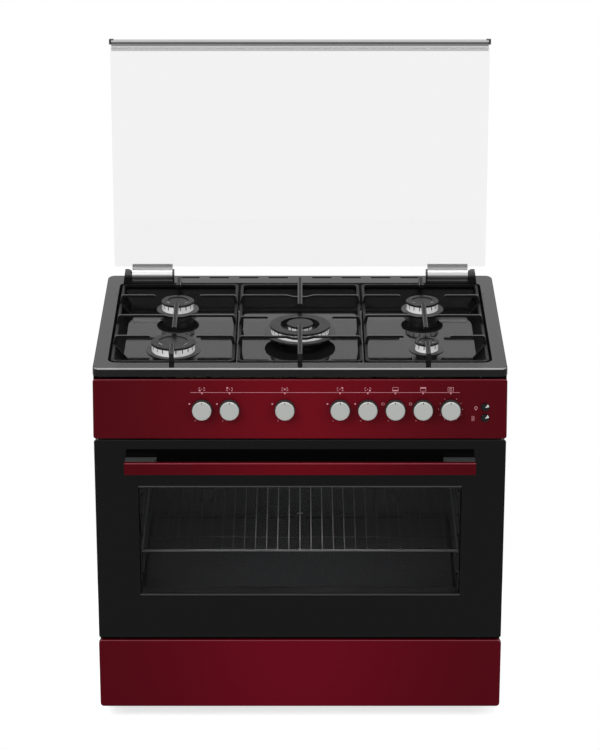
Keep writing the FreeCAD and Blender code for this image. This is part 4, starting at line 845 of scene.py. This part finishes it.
@dataclass
class Lid:
    """Glass lid with its edge profile, clamps and hinge brackets.

    Attributes:
        nodes: the frame's nodes.
        bands: bands of painted light and shade on the edge profile from below, each with its
        upper end as a share of the profile's height and the number of its finish.
    """

    nodes: dict[str, bpy.types.Object]
    bands: tuple[tuple[float, int], ...] = ((0.24, 0), (0.44, 1), (0.64, 2), (0.83, 3),
                                            (2.0, 0))

    def dress(self) -> None:
        """Give the lid's pieces their finishes."""
        Surface.LID_GLASS.apply(self.nodes["lid_glass"])
        Surface.BRUSHED_ALUMINIUM.apply(self.nodes["lid_hinge_clamps"])
        self.profile()
        Surface.BLACK_PLASTIC.apply(self.nodes["lid_end_caps"],
                                    self.nodes["lid_hinge_brackets"])
        LOG.info("lid dressed")

    def profile(self) -> None:
        """Give the edge profile bands of painted highlight and painted shade by height."""
        low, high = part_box("lid_profile")

        def choose(middle: Vector, normal: Vector) -> int:
            """Number of the finish for a face of the profile.

            Args:
                middle: the face's middle.
                normal: its normal.

            Returns:
                The finish's place in the list.
            """
            rise = (middle.z - low.z) / (high.z - low.z)
            return next(number for limit, number in self.bands if rise < limit)

        paint_faces(self.nodes["lid_profile"],
                    [Surface.BRUSHED_ALUMINIUM, Surface.PROFILE_PAINTED_HIGHLIGHT, Surface.PROFILE_PAINTED_HALF_SHADE,
                     Surface.PROFILE_PAINTED_SHADE], choose)


@dataclass
class Door:
    """Oven door with its printed glass, frame and handle.

    Attributes:
        nodes: the frame's nodes.
        window_half_mm: half the width of the clear window.
        window_low_mm: height of its lower edge.
        window_high_mm: height of its upper edge.
        line_mm: height of the grey lines along those edges.
        pane_share: a face whose normal has less of Y than this belongs to the pane's edge.
        handle_rise: the handle's edge with the painted highlight looks up by at least this.
    """

    nodes: dict[str, bpy.types.Object]
    window_half_mm: float = 354.5
    window_low_mm: float = 318.0
    window_high_mm: float = 577.0
    line_mm: float = 3.0
    pane_share: float = 0.9
    handle_rise: float = 0.7

    def glass(self) -> PrintedGlass:
        """Float glass fired with black enamel: a deep black mirror round the window.

        Returns:
            The finish of the outer pane.
        """
        half = self.window_half_mm * MM
        return PrintedGlass(
            "black printed door glass", "#060607", 0.03, specular=0.1,
            window=(-half, half, self.window_low_mm * MM, self.window_high_mm * MM),
            line=self.line_mm * MM)

    def dress(self) -> None:
        """Give the door's pieces their finishes."""
        outer = self.nodes["door_outer_glass"]
        outer.data.materials.clear()
        for finish in (self.glass(), Surface.GROUND_EDGE.value):
            outer.data.materials.append(finish.material())
        for face in outer.data.polygons:
            face.material_index = int(abs(face.normal.y) < self.pane_share)
        Surface.INNER_GLASS.apply(self.nodes["door_inner_glass"])
        Surface.BODY_PAINT.apply(self.nodes["door_frame"])
        # Painted shade towards the handle's ends, and a painted highlight on its upper edge.
        bright_edges(self.nodes["handle_bar"], Surface.WINE_ANODISED, Surface.WINE_PAINTED_HIGHLIGHT,
                     self.handle_rise)
        Surface.BRACKET_PLASTIC.apply(self.nodes["handle_brackets"])
        LOG.info("door dressed")


@dataclass
class Drawer:
    """Storage drawer under the oven.

    Attributes:
        nodes: the frame's nodes.
    """

    nodes: dict[str, bpy.types.Object]

    def dress(self) -> None:
        """Give the drawer's pieces their finishes."""
        # Painted shade towards the face's ends, and a painted highlight on its rounded upper
        # edge.
        bright_edges(self.nodes["drawer_front"], Surface.WINE_PAINT, Surface.WINE_PAINTED_HIGHLIGHT)
        Surface.ZINC.apply(self.nodes["drawer_box"])
        LOG.info("drawer dressed")


class Mark(Enum):
    """What is printed over a knob."""

    FRONT_LEFT = (-1, -1)
    REAR_LEFT = (-1, 1)
    CENTRE = (0, 0)
    REAR_RIGHT = (1, 1)
    FRONT_RIGHT = (1, -1)
    OVEN = "bottom bar"
    GRILL = "top bar"
    TIMER = "clock"


@dataclass(frozen=True)
class Ink:
    """Sizes of the printed marks in millimetres, and the corners of their round forms.

    Attributes:
        deep: thickness of the print, drawn thicker than ink so that it shows.
        line_left: left end of the long line.
        line_right: right end of it.
        line_rise: height of the long line up the slope.
        line_half: half its thickness.
        pointer_deep: height of the pointer under the line.
        pointer_half: half its width.
        symbol_rise: height of the middle of the symbols.
        burner_x: from a symbol's middle to its outer burners, sideways.
        burner_z: the same upwards.
        burner_big: radius of the burner that the knob serves.
        burner_small: radius of the others.
        burner_sides: corners of those discs.
        bracket_x: from the middle to the upright line beside a symbol.
        bracket_half: half that line's thickness.
        bracket_high: half its height.
        oven_wide: width of the oven symbol.
        oven_high: height of it.
        oven_line: thickness of its line.
        heat_rise: from its middle to its heating bar.
        heat_wide: half the width of that bar.
        heat_high: half its height.
        clock: radius of the clock.
        clock_sides: bars round it.
        hand_half: half the width of its hand.
        hand_long: length of the hand.
        scale: radius of the timer's scale.
        scale_step_deg: turn from one of its dots to the next.
        dot: radius of a small dot.
        scale_sides: corners of a dot on the scale.
        flame_sides: corners of the small flame dot.
        off_x: from the knob's middle to its off mark, sideways.
        off_z: the same upwards.
        off_dot: radius of a round off mark.
        off_box_x: from the knob's middle to a square off mark.
        off_box: width, height and line of a square off mark.
        flame_x: from the knob's middle to its small flame dot, sideways.
        flame_z: the same upwards.
        button_x: place of the lamp symbol along X.
        lamp_z: height of it.
        lamp: its radius, its line and the bars round it.
        base: half the width of the lamp's base, and its lower and upper ends.
        spark_x: from the lamp symbol to the spark symbol.
        spark_z: height of it.
        spark_bar: from its middle to its two bars, half their width and half their height.
        spark_dot: radius of the dots between them and their corners.
        spark_rises: heights of those dots.
    """

    deep: float = 0.15
    line_left: float = -238.0
    line_right: float = 347.0
    line_rise: float = 103.4
    line_half: float = 0.4
    pointer_deep: float = 4.2
    pointer_half: float = 2.4
    symbol_rise: float = 110.6
    burner_x: float = 4.4
    burner_z: float = 3.0
    burner_big: float = 1.9
    burner_small: float = 0.9
    burner_sides: int = 14
    bracket_x: float = 6.3
    bracket_half: float = 0.3
    bracket_high: float = 4.2
    oven_wide: float = 12.8
    oven_high: float = 9.0
    oven_line: float = 0.7
    heat_rise: float = 2.9
    heat_wide: float = 5.9
    heat_high: float = 1.3
    clock: float = 2.6
    clock_sides: int = 12
    hand_half: float = 0.4
    hand_long: float = 2.2
    scale: float = 26.0
    scale_step_deg: int = 30
    dot: float = 0.9
    scale_sides: int = 10
    flame_sides: int = 12
    off_x: float = -27.2
    off_z: float = 11.6
    off_dot: float = 1.9
    off_box_x: float = -26.8
    off_box: tuple[float, float, float] = (6.2, 5.2, 0.8)
    flame_x: float = -15.0
    flame_z: float = -26.0
    button_x: float = 382.0
    lamp_z: float = 69.0
    lamp: tuple[float, float, int] = (3.0, 1.1, 16)
    base: tuple[float, float, float] = (1.2, -5.0, -3.6)
    spark_x: float = -6.0
    spark_z: float = 45.6
    spark_bar: tuple[float, float, float] = (2.2, 0.4, 5.6)
    spark_dot: tuple[float, int] = (0.7, 8)
    spark_rises: tuple[float, ...] = (-4.2, -1.4, 1.4, 4.2)


@dataclass(frozen=True)
class KnobForm:
    """Where a knob's faces change their finish, in millimetres from the panel and the axis.

    Attributes:
        base_out: the black base reaches this far out.
        stem: radius of the black stem.
        stem_out: the stem's faces lie nearer to the panel than this.
        rim: the rim and the skirt lie outside this radius.
        rim_out: the rim lies farther out than this, the skirt nearer.
        notch_half: half the width of the notch in the face.
        notch_out: the notch's floor lies between these.
        notch_from: the notch begins at this radius.
    """

    base_out: float = 5.4
    stem: float = 7.2
    stem_out: float = 18.0
    rim: float = 18.9
    rim_out: float = 21.0
    notch_half: float = 0.9
    notch_out: tuple[float, float] = (21.2, 22.3)
    notch_from: float = 14.0


@dataclass
class ControlPanel:
    """Sloping panel with its knobs, buttons and printed marks.

    Attributes:
        nodes: the frame's nodes.
        lean_deg: how far the panel leans back.
        front_mm: place of the panel's lower front edge along Y.
        low_mm: height of that edge.
        knob_rise_mm: height of the knobs up the slope.
        pitch_mm: distance between knob places.
        datum_mm: place of knob slot nought along X.
        ink: sizes of the print.
        knob: where a knob's faces change their finish.
        glint_deg: the turns between which a button has its painted glint.
        glint_share: the painted glint's faces look forward by more than this.
        SLOTS: each knob's slot.
    """

    nodes: dict[str, bpy.types.Object]
    lean_deg: float = 9.0
    front_mm: float = FRONT_MM
    low_mm: float = 692.0
    knob_rise_mm: float = 66.316
    pitch_mm: float = 60.0
    datum_mm: float = -33.0
    ink: Ink = Ink()
    knob: KnobForm = KnobForm()
    glint_deg: tuple[float, float] = (8.0, 52.0)
    glint_share: float = 0.6

    SLOTS = {"front_left": -3, "rear_left": -2, "centre": 0, "rear_right": 2,
             "front_right": 3, "oven": 4, "grill": 5, "timer": 6}

    def place(self) -> Matrix:
        """Give the matrix from an upright panel to the sloping one.

        Returns:
            A matrix in metres.
        """
        turn = Matrix.Rotation(-math.radians(self.lean_deg), 4, "X")
        return Matrix.Translation(Vector((0, self.front_mm, self.low_mm)) * MM) @ turn

    def knob_x(self, name: str) -> float:
        """Place of a knob along X in millimetres."""
        return self.datum_mm + self.SLOTS[name] * self.pitch_mm

    def flat(self, points: list[tuple[float, float]]) -> bpy.types.Object:
        """A printed shape of a few corners on the upright panel.

        Args:
            points: corners (x, height) in millimetres, anticlockwise from the front.

        Returns:
            The shape as a thin plate.
        """
        deselect()
        bpy.ops.mesh.primitive_circle_add(vertices=len(points), radius=1, fill_type="NGON")
        made = bpy.context.object
        for vertex, (x, z) in zip(made.data.vertices, points):
            vertex.co = Vector((x, -self.ink.deep / 2, z)) * MM
        bpy.ops.object.mode_set(mode="EDIT")
        bpy.ops.mesh.select_all(action="SELECT")
        bpy.ops.mesh.normals_make_consistent(inside=False)
        bpy.ops.mesh.extrude_region_move(
            TRANSFORM_OT_translate={"value": (0, self.ink.deep * MM, 0)})
        bpy.ops.mesh.select_all(action="SELECT")
        bpy.ops.mesh.normals_make_consistent(inside=False)
        bpy.ops.object.mode_set(mode="OBJECT")
        return made

    def bar(self, x0: float, x1: float, z0: float, z1: float) -> bpy.types.Object:
        """A printed rectangle between two corners in millimetres."""
        return self.flat([(x0, z0), (x1, z0), (x1, z1), (x0, z1)])

    def dot(self, x: float, z: float, radius: float, sides: int = 20) -> bpy.types.Object:
        """A printed disc.

        Args:
            x: middle along X in millimetres.
            z: middle up the slope.
            radius: in millimetres.
            sides: its corners.

        Returns:
            The disc.
        """
        turns = [2 * math.pi * step / sides for step in range(sides)]
        return self.flat([(x + radius * math.cos(turn), z + radius * math.sin(turn))
                          for turn in turns])

    def ring(self, x: float, z: float, radius: float, line: float,
             sides: int) -> list[bpy.types.Object]:
        """A printed circle line made of short bars.

        Args:
            x: middle along X in millimetres.
            z: middle up the slope.
            radius: mean radius.
            line: width of the line.
            sides: bars round the circle.

        Returns:
            The bars.
        """
        parts = []
        for step in range(sides):
            turns = [2 * math.pi * (step + share) / sides for share in (0, 1)]
            inner, outer = radius - line / 2, radius + line / 2
            parts.append(self.flat([
                (x + inner * math.cos(turns[0]), z + inner * math.sin(turns[0])),
                (x + outer * math.cos(turns[0]), z + outer * math.sin(turns[0])),
                (x + outer * math.cos(turns[1]), z + outer * math.sin(turns[1])),
                (x + inner * math.cos(turns[1]), z + inner * math.sin(turns[1]))]))
        return parts

    def frame(self, x: float, z: float, wide: float, high: float,
              line: float) -> list[bpy.types.Object]:
        """A printed rectangle line about a middle.

        Args:
            x: middle along X in millimetres.
            z: middle up the slope.
            wide: whole width.
            high: whole height.
            line: width of the line.

        Returns:
            Its four bars.
        """
        x0, x1, z0, z1 = x - wide / 2, x + wide / 2, z - high / 2, z + high / 2
        return [self.bar(x0, x1, z0, z0 + line), self.bar(x0, x1, z1 - line, z1),
                self.bar(x0, x0 + line, z0 + line, z1 - line),
                self.bar(x1 - line, x1, z0 + line, z1 - line)]

    def symbol(self, mark: Mark, x: float, z: float) -> list[bpy.types.Object]:
        """The symbol over a knob.

        Args:
            mark: which symbol.
            x: its middle along X in millimetres.
            z: its middle up the slope.

        Returns:
            The printed shapes.
        """
        ink = self.ink
        parts = []
        if isinstance(mark.value, tuple):
            for side, rise in [(0, 0), (-1, -1), (-1, 1), (1, 1), (1, -1)]:
                radius = ink.burner_big if (side, rise) == mark.value else ink.burner_small
                parts.append(self.dot(x + ink.burner_x * side, z + ink.burner_z * rise, radius,
                                      ink.burner_sides))
            for side in (-1, 1):
                line = x + ink.bracket_x * side
                parts.append(self.bar(line - ink.bracket_half, line + ink.bracket_half,
                                      z - ink.bracket_high, z + ink.bracket_high))
            return parts
        parts += self.frame(x, z, ink.oven_wide, ink.oven_high, ink.oven_line)
        if mark is Mark.TIMER:
            parts += self.ring(x, z, ink.clock, ink.oven_line, ink.clock_sides)
            parts.append(self.bar(x - ink.hand_half, x + ink.hand_half, z, z + ink.hand_long))
            return parts
        heat = z + (ink.heat_rise if mark is Mark.GRILL else -ink.heat_rise)
        parts.append(self.bar(x - ink.heat_wide, x + ink.heat_wide, heat - ink.heat_high,
                              heat + ink.heat_high))
        return parts

    def knob_marks(self, name: str) -> list[bpy.types.Object]:
        """The marks round one knob.

        Args:
            name: the knob.

        Returns:
            The printed shapes.
        """
        ink = self.ink
        x = self.knob_x(name)
        z = self.knob_rise_mm
        parts = self.symbol(Mark[name.upper()], x, ink.symbol_rise)
        low = ink.line_rise - ink.line_half
        parts.append(self.flat([(x, low - ink.pointer_deep), (x + ink.pointer_half, low),
                                (x - ink.pointer_half, low)]))
        if name == "timer":
            for angle in range(ink.scale_step_deg, 360, ink.scale_step_deg):
                turn = math.radians(angle)
                parts.append(self.dot(x + ink.scale * math.sin(turn),
                                      z + ink.scale * math.cos(turn), ink.dot,
                                      ink.scale_sides))
            return parts
        if name in ("oven", "grill"):
            parts += self.frame(x + ink.off_box_x, z + ink.off_z, *ink.off_box)
        else:
            parts.append(self.dot(x + ink.off_x, z + ink.off_z, ink.off_dot))
        parts.append(self.dot(x + ink.flame_x, z + ink.flame_z, ink.dot, ink.flame_sides))
        return parts

    def button_marks(self) -> list[bpy.types.Object]:
        """The lamp and spark symbols beside the two buttons.

        Returns:
            The printed shapes.
        """
        ink = self.ink
        x, lamp, spark = ink.button_x, ink.lamp_z, ink.spark_z
        parts = self.ring(x, lamp, *ink.lamp)
        half, lower, upper = ink.base
        parts.append(self.bar(x - half, x + half, lamp + lower, lamp + upper))
        x += ink.spark_x
        away, half, high = ink.spark_bar
        for side in (-away, away):
            parts.append(self.bar(x + side - half, x + side + half, spark - high,
                                  spark + high))
        parts += [self.dot(x, spark + rise, *ink.spark_dot) for rise in ink.spark_rises]
        return parts

    def marks(self) -> bpy.types.Object:
        """Print every mark on the panel.

        Returns:
            The print as one object.
        """
        ink = self.ink
        parts = [self.bar(ink.line_left, ink.line_right, ink.line_rise - ink.line_half,
                          ink.line_rise + ink.line_half)]
        for name in self.SLOTS:
            parts += self.knob_marks(name)
        parts += self.button_marks()
        made = join("panel_print", parts)
        made.matrix_world = self.place()
        settle(made)
        Surface.PRINT.apply(made)
        LOG.info("%s made", made.name)
        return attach(made, "cabinet")

    def dress_knob(self, name: str) -> None:
        """Give a knob its silver cap, bright rim and black base.

        Args:
            name: the knob.
        """
        place = self.place().inverted()
        middle = Vector((self.knob_x(name), 0, self.knob_rise_mm)) * MM
        form = self.knob
        floor, face = form.notch_out

        def choose(point: Vector, normal: Vector) -> int:
            """Number of the finish for a face of the knob.

            Args:
                point: the face's middle.
                normal: its normal.

            Returns:
                The finish's place in the list.
            """
            local = place @ point - middle
            reach = math.hypot(local.x, local.z) / MM
            out = -local.y / MM
            if out < form.base_out or reach < form.stem and out < form.stem_out:
                return 2
            if reach > form.rim:
                return 1 if out > form.rim_out else 3
            notched = abs(local.x) < form.notch_half * MM and reach > form.notch_from
            return 2 if notched and floor < out < face else 0

        paint_faces(self.nodes[name + "_knob"],
                    [Surface.SILVER, Surface.SILVER_RING, Surface.KNOB_BLACK,
                     Surface.SMOKED_CHROME], choose)

    def dress_button(self, name: str) -> None:
        """Give a push button its polished plastic and its painted glint.

        Args:
            name: the button's node.
        """
        low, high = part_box(name)
        middle = (low + high) / 2
        first, last = self.glint_deg

        def choose(point: Vector, normal: Vector) -> int:
            """Number of the finish for a face of the button.

            Args:
                point: the face's middle.
                normal: its normal.

            Returns:
                The finish's place in the list.
            """
            turn = math.degrees(math.atan2(point.z - middle.z, point.x - middle.x))
            return int(normal.y < -self.glint_share and first < turn < last)

        paint_faces(self.nodes[name], [Surface.GLOSS_PLASTIC, Surface.BUTTON_PAINTED_GLINT], choose)

    def dress(self) -> None:
        """Give the panel, its knobs and its buttons their finishes."""
        # Painted shade towards the panel's ends, and a painted highlight on its rounded upper
        # edge.
        bright_edges(self.nodes["control_panel"], Surface.WINE_ENAMEL, Surface.WINE_PAINTED_HIGHLIGHT)
        for name in self.SLOTS:
            self.dress_knob(name)
        for name in ("light_button", "spark_button"):
            self.dress_button(name)
        self.marks()
        LOG.info("control panel dressed")


@dataclass(frozen=True)
class Lamp:
    """A soft lamp that looks at a point.

    Attributes:
        name: the lamp's name.
        place: in metres.
        width: in metres.
        power: in watts.
        target: the point that it looks at, in metres.
        depth: in metres, or None for a square lamp.
    """

    name: str
    place: tuple[float, float, float]
    width: float
    power: float
    target: tuple[float, float, float] = (0.0, 0.0, 0.7)
    depth: float | None = None

    def build(self) -> None:
        """Hang the lamp."""
        aim = Vector(self.target) - Vector(self.place)
        deselect()
        bpy.ops.object.light_add(type="AREA", location=self.place,
                                 rotation=aim.to_track_quat("-Z", "Y").to_euler())
        lamp = bpy.context.object
        lamp.name = self.name
        lamp.data.shape = "RECTANGLE"
        lamp.data.size = self.width
        lamp.data.size_y = self.depth or self.width
        lamp.data.energy = self.power


@dataclass
class Studio:
    """Floor, lamps, background and camera.

    Attributes:
        distance_mm: from the door's plane to the camera.
        height_mm: of the camera.
        pitch_deg: how far it looks down.
        lens_mm: focal length.
        film_mm: the frame's height that the focal length belongs to.
        sight: how far the camera sees, in metres.
        front_mm: place of the door's plane along Y.
        back_light: strength of the world's light on the cooker.
        floor_width: in metres.
        floor_colour: sRGB hex of the matt floor.
        glow: how much the floor near the cooker is lightened towards white.
        footprint: half the cooker's width and depth and nought for height, in metres.
        fade: distances from the footprint between which the floor turns plain white.
        room: the lamps round the cooker.
        oven_lamp: width, depth and power of the lamp in the oven.
        oven_lamp_rise: height of it, in metres.
        oven_lamp_mm: from the shelf's front edge back to it.
        oven_aim_mm: from there back to the point of the shelf that it looks at.
    """

    distance_mm: float = 6000.0
    height_mm: float = 3217.0
    pitch_deg: float = 21.6
    lens_mm: float = 143.5
    film_mm: float = 36.0
    sight: float = 100.0
    front_mm: float = FRONT_MM
    back_light: float = 0.42
    floor_width: float = 40.0
    floor_colour: str = "#e8e8e8"
    glow: float = 0.6
    footprint: tuple[float, float, float] = (0.45, 0.3, 0.0)
    fade: tuple[float, float] = (0.01, 0.16)
    room: tuple[Lamp, ...] = (Lamp("key", (-2.2, -3.2, 3.6), 2.6, 110),
                              Lamp("fill", (3.0, -3.0, 2.4), 2.6, 60),
                              Lamp("top", (0.0, 0.6, 3.6), 2.4, 50))
    oven_lamp: tuple[float, float, float] = (0.52, 0.06, 1.1)
    oven_lamp_rise: float = 0.592
    oven_lamp_mm: float = 30.0
    oven_aim_mm: float = 150.0

    def camera(self) -> None:
        """Set the camera at the photograph's angle."""
        place = Vector((0, self.front_mm - self.distance_mm, self.height_mm)) * MM
        deselect()
        bpy.ops.object.camera_add(location=place,
                                  rotation=(math.radians(90 - self.pitch_deg), 0, 0))
        camera = bpy.context.object
        camera.data.sensor_fit = "VERTICAL"
        camera.data.sensor_height = self.film_mm
        camera.data.lens = self.lens_mm
        camera.data.clip_end = self.sight
        bpy.context.scene.camera = camera

    def seen(self, tree: bpy.types.NodeTree) -> bpy.types.NodeSocket:
        """One for camera, glossy and transmitted rays.

        Args:
            tree: the nodes.

        Returns:
            The socket with that value.
        """
        rays = add_node(tree, "ShaderNodeLightPath")
        first = add_node(tree, "ShaderNodeMath", None, {
            0: rays.outputs["Is Camera Ray"], 1: rays.outputs["Is Glossy Ray"]},
            operation="MAXIMUM")
        return add_node(tree, "ShaderNodeMath", None, {
            0: first.outputs[0], 1: rays.outputs["Is Transmission Ray"]},
            operation="MAXIMUM").outputs[0]

    def background(self) -> None:
        """White behind the cooker, a level grey as light on it."""
        world = bpy.context.scene.world or bpy.data.worlds.new("studio")
        bpy.context.scene.world = world
        world.use_nodes = True
        tree = world.node_tree
        tree.nodes.clear()
        soft, white = (add_node(tree, "ShaderNodeBackground",
                                {"Color": WHITE, "Strength": strength})
                       for strength in (self.back_light, 1.0))
        mix = add_node(tree, "ShaderNodeMixShader", None, {
            0: self.seen(tree), 1: soft.outputs[0], 2: white.outputs[0]})
        add_node(tree, "ShaderNodeOutputWorld", None, {"Surface": mix.outputs[0]})

    def floor(self) -> None:
        """A pale floor that keeps the cooker's shadow and is plain white farther out."""
        deselect()
        bpy.ops.mesh.primitive_plane_add(size=self.floor_width, location=(0, 0, 0))
        floor = bpy.context.object
        floor.name = "floor"
        made = bpy.data.materials.new("white studio floor")
        made.use_nodes = True
        tree = made.node_tree
        tree.nodes.clear()
        seen = self.seen(tree)
        matt = add_node(tree, "ShaderNodeBsdfDiffuse", {"Color": linear(self.floor_colour)})
        strength = add_node(tree, "ShaderNodeMath", {1: self.glow}, {0: seen},
                            operation="MULTIPLY")
        glow = add_node(tree, "ShaderNodeEmission", {"Color": WHITE},
                        {"Strength": strength.outputs[0]})
        near = add_node(tree, "ShaderNodeAddShader", None, {0: matt.outputs[0],
                                                            1: glow.outputs[0]})
        white = add_node(tree, "ShaderNodeEmission", {"Color": WHITE, "Strength": 1.0})
        place = add_node(tree, "ShaderNodeTexCoord").outputs["Object"]
        beyond = add_node(tree, "ShaderNodeVectorMath", {1: self.footprint}, {
            0: add_node(tree, "ShaderNodeVectorMath", None, {0: place},
                        operation="ABSOLUTE").outputs[0]}, operation="SUBTRACT")
        outside = add_node(tree, "ShaderNodeVectorMath", {1: (0.0, 0.0, 0.0)},
                           {0: beyond.outputs[0]}, operation="MAXIMUM")
        reach = add_node(tree, "ShaderNodeVectorMath", None, {0: outside.outputs[0]},
                         operation="LENGTH")
        least, most = self.fade
        away = add_node(tree, "ShaderNodeMapRange", {"From Min": least, "From Max": most},
                        {"Value": reach.outputs["Value"]})
        share = add_node(tree, "ShaderNodeMath", None, {0: away.outputs[0], 1: seen},
                         operation="MULTIPLY")
        both = add_node(tree, "ShaderNodeMixShader", None, {
            0: share.outputs[0], 1: near.outputs[0], 2: white.outputs[0]})
        add_node(tree, "ShaderNodeOutputMaterial", None, {"Surface": both.outputs[0]})
        floor.data.materials.append(made)

    def inner_lamp(self) -> Lamp:
        """Describe the lamp over the shelf's front, which lights the wires and the walls.

        Returns:
            The lamp.
        """
        low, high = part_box("oven_rack")
        front = low.y + self.oven_lamp_mm * MM
        width, depth, power = self.oven_lamp
        return Lamp("oven", (0.0, front, self.oven_lamp_rise), width, power,
                    (0.0, front + self.oven_aim_mm * MM, high.z), depth)

    def build(self) -> None:
        """Set up the studio."""
        self.camera()
        self.background()
        self.floor()
        for lamp in (*self.room, self.inner_lamp()):
            lamp.build()
        bpy.context.scene.view_settings.view_transform = "Standard"
        LOG.info("studio ready")


def main() -> None:
    """Load the frame, dress it and set up the studio."""
    logging.basicConfig(level=logging.INFO, format="%(name)s: %(message)s")
    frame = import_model()
    nodes = frame["nodes"]
    for part in (Body(nodes), Oven(nodes), Hob(nodes), Lid(nodes), Door(nodes), Drawer(nodes),
                 ControlPanel(nodes)):
        part.dress()
    Studio().build()
    bpy.context.view_layer.update()


if __name__ == "__main__":
    main()
